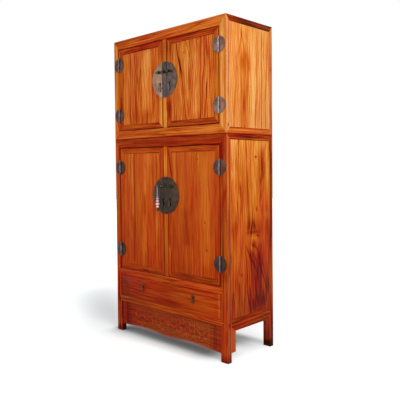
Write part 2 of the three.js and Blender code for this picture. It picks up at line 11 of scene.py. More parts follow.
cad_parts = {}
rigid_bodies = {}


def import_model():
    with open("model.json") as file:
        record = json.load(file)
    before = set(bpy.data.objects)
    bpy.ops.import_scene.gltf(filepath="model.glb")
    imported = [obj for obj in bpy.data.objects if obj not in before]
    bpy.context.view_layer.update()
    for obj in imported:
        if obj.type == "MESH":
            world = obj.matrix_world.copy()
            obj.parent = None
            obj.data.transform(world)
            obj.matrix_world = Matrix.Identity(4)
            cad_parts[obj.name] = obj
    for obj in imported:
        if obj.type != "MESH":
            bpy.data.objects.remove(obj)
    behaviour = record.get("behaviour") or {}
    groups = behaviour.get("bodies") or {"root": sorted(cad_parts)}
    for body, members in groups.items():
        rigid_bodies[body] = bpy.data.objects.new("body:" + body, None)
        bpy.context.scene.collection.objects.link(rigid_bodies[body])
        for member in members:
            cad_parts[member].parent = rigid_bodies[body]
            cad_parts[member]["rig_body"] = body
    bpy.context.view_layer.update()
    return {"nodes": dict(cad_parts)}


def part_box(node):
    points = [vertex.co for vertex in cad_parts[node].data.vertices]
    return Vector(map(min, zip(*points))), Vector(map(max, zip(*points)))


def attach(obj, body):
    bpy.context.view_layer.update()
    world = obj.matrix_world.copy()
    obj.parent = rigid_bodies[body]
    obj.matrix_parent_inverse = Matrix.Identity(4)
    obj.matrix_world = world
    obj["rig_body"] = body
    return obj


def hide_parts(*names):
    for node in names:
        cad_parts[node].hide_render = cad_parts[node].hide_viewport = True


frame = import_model()

MM = 0.001
WHITE = (1.0, 1.0, 1.0, 1.0)
CASES = ("lower", "upper")
SIDES = (("left", -1), ("right", 1))


# Camera

CAMERA_PLACE = (2.7444, -2.7885, 1.2557)
CAMERA_AZIMUTH = math.radians(43.384)
CAMERA_ELEVATION = math.radians(1.926)
CAMERA_ROLL = math.radians(-0.509)
IMAGE_WIDTH = 400
FOCAL_PIXELS = 536.32
CENTRE_PIXEL = (201.0, 184.0)
SENSOR_WIDTH = 36.0
FARTHEST_SEEN = 60.0


def link(obj):
    bpy.context.scene.collection.objects.link(obj)
    return obj


def make_camera():
    """The photograph's camera, as its corners and edges give it."""
    azimuth, elevation = CAMERA_AZIMUTH, CAMERA_ELEVATION
    forward = Vector((
        -math.sin(azimuth) * math.cos(elevation),
        math.cos(azimuth) * math.cos(elevation),
        -math.sin(elevation),
    ))
    level = Vector((math.cos(azimuth), math.sin(azimuth), 0.0))
    upright = level.cross(forward)
    right = level * math.cos(CAMERA_ROLL) + upright * math.sin(CAMERA_ROLL)
    up = upright * math.cos(CAMERA_ROLL) - level * math.sin(CAMERA_ROLL)
    turn = Matrix((right, up, -forward)).transposed().to_4x4()
    data = bpy.data.cameras.new("camera")
    data.sensor_width = SENSOR_WIDTH
    data.lens = SENSOR_WIDTH * FOCAL_PIXELS / IMAGE_WIDTH
    data.shift_x = (IMAGE_WIDTH / 2 - CENTRE_PIXEL[0]) / IMAGE_WIDTH
    data.shift_y = (CENTRE_PIXEL[1] - IMAGE_WIDTH / 2) / IMAGE_WIDTH
    data.clip_end = FARTHEST_SEEN
    camera = link(bpy.data.objects.new("camera", data))
    camera.matrix_world = Matrix.Translation(CAMERA_PLACE) @ turn
    bpy.context.scene.camera = camera


# Node trees

class Graph:
    """A node tree with its calls kept short. Values are sockets or plain numbers."""

    def __init__(self, tree):
        self.tree = tree

    def node(self, kind, **settings):
        made = self.tree.nodes.new("ShaderNode" + kind)
        for key, value in settings.items():
            setattr(made, key, value)
        return made

    def feed(self, socket, value):
        if isinstance(value, bpy.types.NodeSocket):
            self.tree.links.new(value, socket)
        else:
            socket.default_value = value

    def fill(self, made, values):
        """The first output of a node whose inputs take the values in their order."""
        for socket, value in zip(made.inputs, values):
            self.feed(socket, value)
        return made.outputs[0]

    def math(self, operation, *values):
        return self.fill(self.node("Math", operation=operation), values)

    def add(self, *values):
        total = values[0]
        for value in values[1:]:
            total = self.math("ADD", total, value)
        return total

    def times(self, *values):
        total = values[0]
        for value in values[1:]:
            total = self.math("MULTIPLY", total, value)
        return total

    def less(self, value, taken):
        return self.math("SUBTRACT", value, taken)

    def off(self, value, middle, size):
        """How many sizes a value lies from a middle."""
        return self.math("DIVIDE", self.less(value, middle), size)

    def fade(self, value):
        """1 where value is 0, and less as it grows."""
        return self.math("EXPONENT", self.times(value, -1.0))

    def bell(self, off):
        return self.fade(self.times(off, off))

    def vector(self, *values):
        return self.fill(self.node("CombineXYZ"), values)

    def split(self, vector):
        axes = self.node("SeparateXYZ")
        self.feed(axes.inputs[0], vector)
        return axes.outputs

    def place(self):
        return self.node("TexCoord").outputs["Object"]

    def noise(self, vector, scale=1.0, detail=2.0, roughness=0.5):
        made = self.node("TexNoise")
        words = ("Vector", "Scale", "Detail", "Roughness")
        for word, value in zip(words, (vector, scale, detail, roughness)):
            self.feed(made.inputs[word], value)
        return made.outputs[0]

    def rise(self, value, low, high, bottom=0.0, top=1.0):
        """From bottom to top as value goes smoothly from low to high."""
        made = self.node("MapRange", interpolation_type="SMOOTHSTEP")
        return self.fill(made, (value, low, high, bottom, top))

    def between(self, value, start, stop):
        """0 before start, 1 from there until stop and 0 after it. Both are stretches with two ends."""
        return self.times(self.rise(value, *start), self.rise(value, *stop, 1.0, 0.0))

    def ramp(self, value, stops):
        made = self.node("ValToRGB")
        elements = made.color_ramp.elements
        while len(elements) < len(stops):
            elements.new(0.5)
        for element, (place, colour) in zip(elements, stops):
            element.position = place
            element.color = (*colour, 1.0)
        self.feed(made.inputs[0], value)
        return made.outputs[0]

    def group(self, tree, **values):
        made = self.node("Group", node_tree=tree)
        for name, value in values.items():
            self.feed(made.inputs[name], value)
        return made.outputs

    def bump(self, shader, height, strength, depth):
        made = self.node("Bump")
        self.feed(made.inputs["Strength"], strength)
        self.feed(made.inputs["Distance"], depth)
        self.feed(made.inputs["Height"], height)
        self.feed(shader["Normal"], made.outputs[0])


def new_group(name, inputs, outputs):
    """An empty node group, its graph, its inputs in their order, and its ends by name."""
    tree = bpy.data.node_groups.new(name, "ShaderNodeTree")
    for way, words in (("INPUT", inputs), ("OUTPUT", outputs)):
        for word in words:
            tree.interface.new_socket(word, in_out=way, socket_type="NodeSocketFloat")
    start = tree.nodes.new("NodeGroupInput").outputs
    end = tree.nodes.new("NodeGroupOutput").inputs
    return tree, Graph(tree), [start[word] for word in inputs], end


def new_material(name):
    """A material, its graph and the inputs of its one shader."""
    material = bpy.data.materials.new(name)
    material.use_nodes = True
    material.node_tree.nodes.clear()
    graph = Graph(material.node_tree)
    shader = graph.node("BsdfPrincipled")
    graph.feed(graph.node("OutputMaterial").inputs[0], shader.outputs[0])
    return material, graph, shader.inputs


# Wood grain, as a solid that grows along one axis

# Cells in a metre of each kind of noise: across, into and along the grain
GRAIN_CELLS = {
    "swing": (3.1, 3.1, 0.8),
    "small_swing": (9.0, 9.0, 5.5),
    "uneven": (7.0, 0.0, 1.9),
    "wide": (36.0, 18.0, 1.2),
    "close": (78.0, 40.0, 2.4),
    "spread": (14.0, 0.0, 2.6),
    "streak": (84.0, 30.0, 1.9),
    "fine": (170.0, 150.0, 5.0),
    "fibre": (1300.0, 900.0, 24.0),
}
SMALL_SWING = 0.45
RING_SWAY = 0.045
STREAK_FADE = 0.03
KNOT_PUSH = -0.9
KNOT_SHAPE = (0.1, 0.035)
KNOT_CORE = -1.3


def make_grain_group():
    """Bends the across coordinate as grain wanders, and gives streaks, fibres and growth rings."""
    words = ("Across", "Depth", "Along", "Seed", "Wander", "Pith", "Sawn", "Taper", "Rings")
    made = ("Bent", "Streak", "Fine", "Fibre", "Late", "Vein")
    tree, g, sockets, end = new_group("wood_grain", words, made)
    across, depth, along, seed, wander, pith, sawn, taper, rings = sockets

    def field(aside, word, detail=2.0, roughness=0.5, shift=0.0):
        """One of the kinds of noise, by the true or the bent coordinate across."""
        u, v, w = GRAIN_CELLS[word]
        place = g.vector(g.times(aside, u), g.add(g.times(depth, v), seed, shift), g.times(along, w))
        return g.noise(place, 1.0, detail, roughness)

    def contour(value, low, high, top):
        """A thin line wherever value passes its middle."""
        return g.rise(g.math("ABSOLUTE", g.less(value, 0.5)), low, high, top, 0.0)

    swing = g.less(field(across, "swing"), 0.5)
    small_swing = g.less(field(across, "small_swing", 1.0), 0.5)
    bend = g.add(swing, g.times(small_swing, SMALL_SWING))
    bent = g.add(across, g.times(bend, wander))
    side = g.less(bent, pith)
    radius = g.math("SQRT", g.add(g.times(side, side), g.times(sawn, sawn)))
    uneven = field(across, "uneven")
    grown = g.add(radius, g.times(along, taper), g.times(uneven, RING_SWAY))
    turns = g.times(grown, rings)
    phase = g.math("FRACT", turns)
    late = g.between(phase, (0.25, 0.9), (0.9, 1.0))
    weight = g.noise(g.vector(g.math("FLOOR", turns), seed, 0.0), 3.7, 0.0)
    wide_line = contour(field(bent, "wide", shift=3.0), 0.01, 0.044, 1.0)
    close_line = contour(field(bent, "close", shift=7.0), 0.014, 0.07, 0.7)
    spread = g.rise(field(bent, "spread"), 0.36, 0.62, 0.15, 1.0)
    g.feed(end["Vein"], g.times(g.math("MAXIMUM", wide_line, close_line), spread))
    g.feed(end["Bent"], bent)
    g.feed(end["Streak"], field(bent, "streak", 4.0, 0.55))
    g.feed(end["Fine"], field(bent, "fine", 3.0, 0.6))
    g.feed(end["Fibre"], field(bent, "fibre", 2.0, 0.6))
    g.feed(end["Late"], g.times(late, g.rise(weight, 0.2, 0.75)))
    return tree


def make_streak_group():
    """A darker or paler line along the grain, between two heights."""
    words = ("Across", "Along", "At", "Lean", "Width", "Low", "High", "Tone")
    tree, g, sockets, end = new_group("wood_streak", words, ("Tone",))
    across, along, at, slope, width, low, high, tone = sockets
    lean = g.times(g.less(along, g.times(g.add(low, high), 0.5)), slope)
    line = g.bell(g.off(across, g.add(at, lean), width))
    start, stop = ([g.add(level, -STREAK_FADE), g.add(level, STREAK_FADE)] for level in (low, high))
    g.feed(end["Tone"], g.times(line, g.between(along, start, stop), tone))
    return tree


def make_patch_group():
    """A darker or paler cloud in the grain."""
    words = ("Across", "Along", "At", "Height", "Width", "Length", "Tone")
    tree, g, sockets, end = new_group("wood_patch", words, ("Tone",))
    across, along, at, height, width, length, tone = sockets
    u = g.off(across, at, width)
    v = g.off(along, height, length)
    g.feed(end["Tone"], g.times(g.fade(g.add(g.times(u, u), g.times(v, v))), tone))
    return tree


def make_knot_group():
    """A knot: the grain bends round it, and its middle is dark."""
    words = ("Across", "Along", "At", "Height", "Size")
    tree, g, sockets, end = new_group("wood_knot", words, ("Push", "Dark"))
    across, along, at, height, size = sockets
    u = g.off(across, at, size)
    v = g.off(along, height, size)
    uu, vv = g.times(u, u), g.times(v, v)
    reach = g.fade(g.add(g.times(uu, KNOT_SHAPE[0]), g.times(vv, KNOT_SHAPE[1])))
    g.feed(end["Push"], g.times(u, reach, size, KNOT_PUSH))
    g.feed(end["Dark"], g.math("EXPONENT", g.times(g.add(uu, vv), KNOT_CORE)))
    return tree


GRAIN = make_grain_group()
STREAK = make_streak_group()
PATCH = make_patch_group()
KNOT = make_knot_group()

# Which of X, Y and Z run across, into and along the grain of a piece
CUTS = {
    "front_up": ("X", "Y", "Z"),
    "front_across": ("Z", "Y", "X"),
    "side_up": ("Y", "X", "Z"),
    "side_across": ("Z", "X", "Y"),
    "flat_across": ("Y", "Z", "X"),
}

# From the darkest red-brown to pale gold
WOOD_TONES = (
    (0.0, (0.05, 0.004, 0.001)),
    (0.18, (0.17, 0.011, 0.001)),
    (0.36, (0.32, 0.029, 0.003)),
    (0.54, (0.48, 0.08, 0.006)),
    (0.72, (0.62, 0.163, 0.016)),
    (0.88, (0.74, 0.28, 0.052)),
    (1.0, (0.86, 0.43, 0.13)),
)

# How far each thing moves the tone along those stops, and the sizes of seams and steps in metres
MARK_DEPTH = 1.7
GAP_DIRT_AND_SHADE = -0.38
KNOT_DARK = -0.26
SEAM_DARK = -0.22
SEAM_HALF = (0.0006, 0.0018)
STEP_HALF = 0.0008
FINE_DEPTH = 0.5
FIBRE_DEPTH = 0.16
VEIN_LIFT = 0.28
# Height about which painted shade makes the wood darker below and paler above, as the light falls off
# towards the floor
PAINTED_FALLOFF_HEIGHT = 1.0
FOOT_HEIGHTS = (0.03, 0.09)

# Hue and its swing between places, the lacquer's gloss, and the painted shade in the hollows of the carving
HUE = 0.4925
HUE_SWING = 0.034
HUE_CLOUD = (0.3, 0.7)
HUE_CELLS = (9.0, 2.2)
LACQUER_ROUGH = 0.4
LACQUER_SPECULAR = 0.025
LACQUER_TINT = (1.0, 0.6, 0.35, 1.0)
GRAIN_DEPTH = 0.4 * MM
CARVED_PATCHES = (
    (0.14, -0.47, 0.2, 0.07, -0.15),
    (0.14, -0.28, 0.2, 0.14, -0.025),
    (0.14, 0.47, 0.2, 0.05, -0.11),
)
HOLLOW_SHADE_TONES = ((0.1, (0.6, 0.58, 0.66)), (0.75, WHITE[:3]))


def wood(name, cut, tone, seed=0.0, streaks=(), patches=(), knots=(), joints=(), lines=(), wander=0.03,
         pith=0.0, sawn=0.05, taper=0.02, rings=95.0, late=0.14, broad=0.26, vein=0.26, foot=0.0,
         painted_falloff=0.0, gold=0.45, rich=1.0):
    """Lacquered hardwood. Its marks have real places, in metres.

    A streak gives its place across, width, lower end, upper end and tone, and its lean if it has one.
    A patch gives its place, height, width, length and tone, and a knot its place, height and size.
    A joint gives its place and the change of tone past it, and a line its axis, place and width; a line is
    dirt and painted shade in a gap.
    """
    material, g, shader = new_material(name)
    axes = g.split(g.place())
    across, depth, along = (axes[word] for word in CUTS[cut])
    pushed = across
    dark = []
    for at, height, size in knots:
        knot = g.group(KNOT, Across=across, Along=along, At=at, Height=height, Size=size)
        pushed = g.add(pushed, knot["Push"])
        dark.append(g.times(knot["Dark"], KNOT_DARK))
    grain = g.group(
        GRAIN, Across=pushed, Depth=depth, Along=along, Seed=seed, Wander=wander,
        Pith=pith, Sawn=sawn, Taper=taper, Rings=rings,
    )
    bent = grain["Bent"]
    parts = [
        tone,
        g.times(g.less(grain["Streak"], 0.5), broad * 2),
        g.times(g.less(grain["Fine"], 0.5), FINE_DEPTH),
        g.times(grain["Vein"], -vein),
        vein * VEIN_LIFT,
        g.times(g.less(grain["Fibre"], 0.5), FIBRE_DEPTH),
        g.times(grain["Late"], -late),
        *dark,
    ]
    marks = []
    for at, width, low, high, shade, *lean in streaks:
        marks.append((STREAK, shade, dict(At=at, Width=width, Low=low, High=high, Lean=sum(lean))))
    for at, height, width, length, shade in patches:
        marks.append((PATCH, shade, dict(At=at, Height=height, Width=width, Length=length)))
    for tree, shade, sizes in marks:
        mark = g.group(tree, Across=bent, Along=along, Tone=shade * MARK_DEPTH, **sizes)
        parts.append(mark["Tone"])
    for at, shade in joints:
        parts.append(g.times(g.rise(across, at - STEP_HALF, at + STEP_HALF), shade))
        parts.append(g.rise(g.math("ABSOLUTE", g.less(across, at)), *SEAM_HALF, SEAM_DARK, 0.0))
    # Dark lines in the gaps between members: dirt and painted shade
    for axis, at, width in lines:
        parts.append(g.times(g.bell(g.off(axes[axis], at, width)), GAP_DIRT_AND_SHADE))
    # Painted shade: darker lower down and paler higher up, as the light falls off
    if painted_falloff:
        parts.append(g.times(g.less(axes["Z"], PAINTED_FALLOFF_HEIGHT), painted_falloff))
    if foot:
        ragged = g.add(axes["Z"], g.times(grain["Streak"], 0.05))
        parts.append(g.rise(ragged, *FOOT_HEIGHTS, -foot, 0.0))
    tint = g.node("HueSaturation")
    u, v = HUE_CELLS
    cloud = g.noise(g.vector(g.times(bent, u), seed + 5.0, g.times(along, v)))
    g.feed(tint.inputs["Hue"], g.rise(cloud, *HUE_CLOUD, HUE, HUE + HUE_SWING * gold))
    g.feed(tint.inputs["Saturation"], rich)
    g.feed(tint.inputs["Color"], g.ramp(g.add(*parts), WOOD_TONES))
    g.feed(shader["Base Color"], tint.outputs[0])
    rough = g.add(LACQUER_ROUGH, g.times(grain["Fine"], 0.14), g.times(grain["Late"], -0.05))
    g.feed(shader["Roughness"], rough)
    relief = g.add(grain["Fibre"], g.times(grain["Fine"], 0.6), g.times(grain["Late"], 0.5))
    g.bump(shader, relief, 0.25, GRAIN_DEPTH)
    shader["Specular IOR Level"].default_value = LACQUER_SPECULAR
    shader["Specular Tint"].default_value = LACQUER_TINT
    return material


def carved_wood(name, tone, seed):
    """The apron's wood, with painted shade darkening the hollows of its carving."""
    material = wood(
        name, "front_across", tone, seed, wander=0.02, pith=0.5, broad=0.16, vein=0.08, late=0.05,
        gold=0.3, rich=0.98,
        patches=CARVED_PATCHES,
    )
    g = Graph(material.node_tree)
    shader = next(n for n in material.node_tree.nodes if n.type == "BSDF_PRINCIPLED")
    # Painted shade in the carving's hollows: the lower the carved surface, the darker
    level = g.node("Attribute", attribute_name="carved").outputs["Fac"]
    hollow_shade = g.node("Mix", data_type="RGBA", blend_type="MULTIPLY")
    g.feed(hollow_shade.inputs["Factor"], 1.0)
    g.feed(hollow_shade.inputs["A"], shader.inputs["Base Color"].links[0].from_socket)
    g.feed(hollow_shade.inputs["B"], g.ramp(level, HOLLOW_SHADE_TONES))
    g.feed(shader.inputs["Base Color"], hollow_shade.outputs["Result"])
    return material


# Metals, beads and cord

# Cells in a metre and detail of the mottling, the spots and the grit
METAL_CELLS = ((30.0, 5.0), (160.0, 4.0), (900.0, 2.0))


def metal(name, dark, pale, rough, wear=0.5, sheen=1.0, cast=WHITE[:3]):
    """Aged brass alloy: mottled between a dark and a pale tone, with stains and rubbed spots.

    wear moves the mix to the pale tone, sheen says how metallic it is, and cast tints the middle tone.
    """
    material, g, shader = new_material(name)
    place = g.place()
    mottle, spots, grit = (g.noise(place, cells, detail, 0.6) for cells, detail in METAL_CELLS)
    mix = g.add(g.times(mottle, 1.3), g.times(spots, 0.55), g.times(grit, 0.12), wear - 0.98)
    middle = tuple((d + p) / 2 * c for d, p, c in zip(dark, pale, cast))
    g.feed(shader["Base Color"], g.ramp(mix, ((0.12, dark), (0.46, middle), (0.84, pale))))
    g.feed(shader["Roughness"], g.add(rough, g.times(g.less(spots, 0.5), 0.35)))
    g.feed(shader["Metallic"], sheen)
    g.feed(shader["Specular IOR Level"], 0.2)
    g.bump(shader, g.add(mottle, g.times(spots, 0.5), g.times(grit, 0.15)), 0.35, 0.5 * MM)
    return material


def glaze(name, colour, spots):
    """Opaque glass bead: its colour swirls a little, with fine specks."""
    material, g, shader = new_material(name)
    place = g.place()
    swirl = g.noise(place, 130.0, 3.0, 0.5)
    speck = g.noise(place, 700.0, 2.0, 0.5)
    mix = g.add(g.times(swirl, 0.8), g.times(speck, 0.2))
    g.feed(shader["Base Color"], g.ramp(mix, ((0.32, spots), (0.6, colour))))
    g.feed(shader["Roughness"], g.add(0.16, g.times(speck, 0.16)))
    g.bump(shader, swirl, 0.15, 0.3 * MM)
    return material


def thread(name, dark, pale, turns):
    """Twisted cord or loose threads."""
    material, g, shader = new_material(name)
    place = g.place()
    wave = g.node("TexWave", wave_type="BANDS", bands_direction="DIAGONAL")
    g.feed(wave.inputs["Vector"], place)
    g.feed(wave.inputs["Scale"], turns)
    g.feed(wave.inputs["Distortion"], 1.2)
    fuzz = g.noise(place, 1600.0, 3.0, 0.6)
    mix = g.add(g.times(wave.outputs["Fac"], 0.55), g.times(fuzz, 0.45))
    g.feed(shader["Base Color"], g.ramp(mix, ((0.2, dark), (0.8, pale))))
    g.feed(shader["Roughness"], g.add(0.72, g.times(fuzz, 0.2)))
    g.bump(shader, mix, 0.6, 0.4 * MM)
    return material


# Meshes

PIN_HEAD = 2.6 * MM
SAME_PLACE = 0.01 * MM
SAME_PLANE = math.radians(1.5)
BEVEL_ANGLE = math.radians(28.0)


def mesh_of(bm, name):
    mesh = bpy.data.meshes.new(name)
    bm.to_mesh(mesh)
    bm.free()
    return mesh


def new_object(name, mesh, body):
    made = link(bpy.data.objects.new(name, mesh))
    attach(made, body)
    return made


def body_of(node):
    return frame["nodes"][node]["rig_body"]


def corners(node):
    low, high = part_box(node)
    return Vector(low), Vector(high)


def smooth(mesh):
    for polygon in mesh.polygons:
        polygon.use_smooth = True


def edit(mesh, change):
    """Opens a mesh, changes it and puts it back."""
    bm = bmesh.new()
    bm.from_mesh(mesh)
    change(bm)
    bm.to_mesh(mesh)
    bm.free()


def join_flats(bm):
    """Merges the triangles of each flat face, so that bevels run clean."""
    bmesh.ops.remove_doubles(bm, verts=bm.verts, dist=SAME_PLACE)
    bmesh.ops.dissolve_limit(bm, angle_limit=SAME_PLANE, verts=bm.verts, edges=bm.edges)


def bridge(bm, rings, closed=False):
    """Faces between each ring of vertices and the next."""
    following = rings[1:] + (rings[:1] if closed else [])
    for ring, other in zip(rings, following):
        for j in range(len(ring)):
            k = (j + 1) % len(ring)
            bm.faces.new((ring[j], other[j], other[k], ring[k]))
    if not closed:
        bm.faces.new(rings[0])
        bm.faces.new(reversed(rings[-1]))
    bmesh.ops.recalc_face_normals(bm, faces=bm.faces)


def groove_mesh(lines, width):
    """V-shaped cutters along lines on a face. A line is two ends and the face's outward normal."""
    bm = bmesh.new()
    for start, stop, normal in lines:
        start, stop, normal = Vector(start), Vector(stop), Vector(normal)
        aside = (stop - start).normalized().cross(normal) * width
        lift = normal * (width / 2)
        ends = []
        for point in (start, stop):
            outline = (point + aside + lift, point - aside + lift, point - normal * width)
            ends.append([bm.verts.new(corner) for corner in outline])
        bridge(bm, ends)
    return mesh_of(bm, "grooves")


def cut_away(obj, mesh):
    """Cuts a mesh out of an object and keeps the result as the object's own mesh."""
    cutter = link(bpy.data.objects.new("cutter", mesh))
    cut = obj.modifiers.new("cut", "BOOLEAN")
    cut.operation = "DIFFERENCE"
    cut.solver = "EXACT"
    cut.object = cutter
    bpy.context.view_layer.update()
    ready = obj.evaluated_get(bpy.context.evaluated_depsgraph_get())
    result = bpy.data.meshes.new_from_object(ready)
    obj.modifiers.clear()
    obj.data = result
    bpy.data.objects.remove(cutter)


def round_edges(obj, width, segments=2):
    smooth(obj.data)
    bevel = obj.modifiers.new("rounded_edges", "BEVEL")
    bevel.width = width
    bevel.segments = segments
    bevel.limit_method = "ANGLE"
    bevel.angle_limit = BEVEL_ANGLE
    bevel.harden_normals = True
    bevel.use_clamp_overlap = True


def paint(obj, materials, chooser=None):
    """Gives an object its materials, and each face the one that chooser names for its middle."""
    obj.data.materials.clear()
    for material in materials:
        obj.data.materials.append(material)
    for polygon in obj.data.polygons:
        polygon.material_index = int(chooser(polygon.center, polygon.normal)) if chooser else 0


def dressed(node, materials, edge, chooser=None, grooves=(), groove_width=1.2 * MM, segments=2,
            pins=(), pin_face=0.0):
    """A CAD node's own shape with clean faces, joint lines and rounded edges, in its place.

    Pins, given by X and Z, are the low domed heads of the pins that hold a plate.
    """
    def add_pin_heads(bm):
        for x, z in pins:
            squat = Matrix.Translation((x, pin_face, z)) @ Matrix.Diagonal((1.0, 0.5, 1.0, 1.0))
            bmesh.ops.create_uvsphere(bm, u_segments=14, v_segments=8, radius=PIN_HEAD, matrix=squat)

    mesh = frame["nodes"][node].data.copy()
    edit(mesh, join_flats)
    obj = new_object(node + "_finished", mesh, body_of(node))
    if grooves:
        cut_away(obj, groove_mesh(grooves, groove_width))
        edit(obj.data, join_flats)
    if pins:
        edit(obj.data, add_pin_heads)
    paint(obj, materials, chooser)
    round_edges(obj, edge, segments)
    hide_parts(node)


# Woodwork: each face takes the wood of the member that it belongs to

STILE = 42 * MM
DOOR_RAIL = 40 * MM
POST_WIDTH = 58 * MM
POST_DEPTH = 36 * MM
GROOVE_SETBACK = 11 * MM
SIDE_RAIL = 36 * MM
SPANDREL = 42 * MM
BAND = 35 * MM
SKIN = 1 * MM
DOOR_EDGE = 2.2 * MM
POST_EDGE = 3 * MM
BAND_EDGE = 1.6 * MM
POST_GROOVE = 2.4 * MM
BAND_GROOVE = 1.4 * MM
MITRE_START = -0.03


def both_ends(low, high):
    """Both ends of a box along X, Y and Z, each with the way inwards from it."""
    return [((a, 1), (b, -1)) for a, b in zip(low, high)]


def mitre(corner, reach, normal, stop=1.03):
    """A groove line from an outer corner inwards. reach is how far in the members are wide."""
    outer, inner = ([c + r * share for c, r in zip(corner, reach)] for share in (MITRE_START, stop))
    return outer, inner, normal


def door_frame(case, side, stile_wood, rail_wood):
    node = f"{case}_{side}_door_frame"
    low, high = corners(node)
    along_x, along_y, along_z = both_ends(low, high)
    grooves = [
        mitre((x, y, z), (sx * STILE, 0, sz * DOOR_RAIL), (0, -sy, 0))
        for y, sy in along_y for x, sx in along_x for z, sz in along_z
    ]

    def member(centre, normal):
        from_side = min(centre.x - low.x, high.x - centre.x) / STILE
        return min(centre.z - low.z, high.z - centre.z) / DOOR_RAIL < from_side

    dressed(node, (stile_wood, rail_wood), DOOR_EDGE, member, grooves)


def post_groove(low, high, sign_x, sign_y):
    """A fine line down a post's outer side, beside the panel."""
    x = high.x if sign_x > 0 else low.x
    inset = POST_DEPTH - GROOVE_SETBACK
    y = low.y + inset if sign_y < 0 else high.y - inset
    past = 20 * MM
    return (x, y, low.z - past), (x, y, high.z + past), (sign_x, 0, 0)


def front_post(case, side, sign, post_wood, side_wood):
    """A front post, with the wood of its outer side chosen apart from its front's."""
    node = f"{case}_front_{side}_post"

    def on_side(centre, normal):
        return abs(normal.x) > 0.7

    grooves = [post_groove(*corners(node), sign, -1)]
    dressed(node, (post_wood, side_wood), POST_EDGE, on_side, grooves, POST_GROOVE, 3)


def back_frame(case, post_wood, panel_wood):
    node = f"{case}_back_frame"
    low, high = corners(node)

    def in_panel(centre, normal):
        return abs(centre.x) < high.x - POST_WIDTH - SKIN

    grooves = [post_groove(low, high, sign, 1) for sign in (-1, 1)]
    dressed(node, (post_wood, panel_wood), POST_EDGE, in_panel, grooves, POST_GROOVE, 3)


def rails_and_board(case, part, *woods):
    """Rails round a board. The top board's box says where the rails are, above and below alike."""
    low, high = corners(f"{case}_top_board")
    along_x, along_y = both_ends(low, high)[:2]
    mitres = [
        mitre((x, y, high.z), (sx * SIDE_RAIL, sy * POST_DEPTH, 0), (0, 0, 1), 0.99)
        for x, sx in along_x for y, sy in along_y
    ]

    def member(centre, normal):
        from_side = min(centre.x - low.x, high.x - centre.x)
        from_front = min(centre.y - low.y, high.y - centre.y)
        if from_side > SIDE_RAIL + SKIN and from_front > POST_DEPTH + SKIN:
            return 2
        return from_side < from_front

    dressed(f"{case}_{part}", woods, DOOR_EDGE, member, mitres if part == "top_board" else ())


def side_apron(side, sign, band_wood, spandrel_wood):
    """A side apron, whose spandrels run down the legs."""
    node = f"{side}_side_apron"
    low, high = corners(node)
    x = high.x if sign > 0 else low.x
    reaches = ((low.y, SPANDREL), (high.y, -SPANDREL))
    grooves = [mitre((x, y, high.z), (0, reach, -BAND), (sign, 0, 0)) for y, reach in reaches]

    def member(centre, normal):
        from_end = min(centre.y - low.y, high.y - centre.y) / SPANDREL
        return (high.z - centre.z) / BAND > from_end

    dressed(node, (band_wood, spandrel_wood), BAND_EDGE, member, grooves, BAND_GROOVE)


# Carved front apron: scrolls along a stem that runs both ways from a middle flower

RELIEF = 5.0 * MM
CARVING_COLUMNS = 640
CARVING_ROWS = 112
NEAR_STROKES = 6
RIM_POINTS = 400
RIM_INSET = 6 * MM
RIM_HALF = 3.6 * MM
SHARP = math.radians(60)

# Widths of the slopes from the border to the ground: below, above and at the ends
BORDER = (2 * MM, 6 * MM, 1.5 * MM)

# The vine of the right half: places along X and Z, radii and half widths, in millimetres
STEM = range(26, 372, 2)
STEM_HALF = 3.4
VINE_START = 58
VINE_STEP = 44
VINE_SCROLLS = 8
VINE_MIDDLE = 148
VINE_SWING = 16
SCROLL_HEIGHTS = (112, 185)
SCROLL_RADII = (25, 19, 27, 20, 23, 26, 21, 17)
SCROLL_DRIFTS = (0, 5, -4, -3, 6, -2, 4, 0)
SCROLL_START = math.radians(-215)
SCROLL_TURNS = 1.45
SCROLL_HALF = 3.8
CURL_HEIGHTS = (198, 98)
CURL_START = math.radians(-60)
CURL_RADIUS = 11
CURL_TURNS = 1.2
CURL_HALF = 3.2
LEAF_TIPS = (90, 207)
LEAF_ROOT = 20
LEAVES = ((25, 1, 3.4), (16, -1, 3.0))
LEAF_BOW = 4
FRET = (
    (394, 92), (394, 206), (446, 206), (446, 92), (408, 92), (408, 190), (432, 190), (432, 108),
    (420, 108), (420, 174),
)
FRET_HALF = 3.4
DIVIDER = ((384, 74), (384, 222))
DIVIDER_HALF = 3.0
END_BLOCK = 456 * MM
PETALS = 6
PETAL_REACH = (8, 22)
PETAL_HALF = 6.0
FLOWER = (0, 148)
FLOWER_HALF = 6.5


def around(centre, reach, angle):
    return centre[0] + reach * math.cos(angle), centre[1] + reach * math.sin(angle)


def spiral(centre, start, radius, turns, hand, width, steps=60):
    """Points of a scroll that winds in towards its eye, each with the stroke's half width."""
    points = []
    for i in range(steps + 1):
        t = i / steps
        angle = hand * (start + turns * 2 * math.pi * t)
        points.append((around(centre, radius * (1 - 0.86 * t), angle), width * (1 - 0.35 * t)))
    points.append((tuple(centre), width * 1.3))
    return points


def bow(start, end, rise, width, steps=24, thin_start=0.4, thin_end=1.0):
    """Points of a curved stroke between two places, swelling in its middle."""
    (x0, z0), (x1, z1) = start, end
    length = math.hypot(x1 - x0, z1 - z0)
    points = []
    for i in range(steps + 1):
        t = i / steps
        swell = math.sin(math.pi * t)
        lift = rise * swell / length
        place = (x0 + (x1 - x0) * t - (z1 - z0) * lift, z0 + (z1 - z0) * t + (x1 - x0) * lift)
        points.append((place, width * (thin_start + (thin_end - thin_start) * t + 0.45 * swell)))
    return points


def straight(places, width, step=1.5):
    """Points along a chain of straight strokes."""
    points = []
    for (x0, z0), (x1, z1) in zip(places, places[1:]):
        count = max(2, int(math.hypot(x1 - x0, z1 - z0) / step))
        for i in range(count + 1):
            points.append(((x0 + (x1 - x0) * i / count, z0 + (z1 - z0) * i / count), width))
    return points


def vine_height(x):
    return VINE_MIDDLE - VINE_SWING * math.cos((x - VINE_START) / VINE_STEP * math.pi)


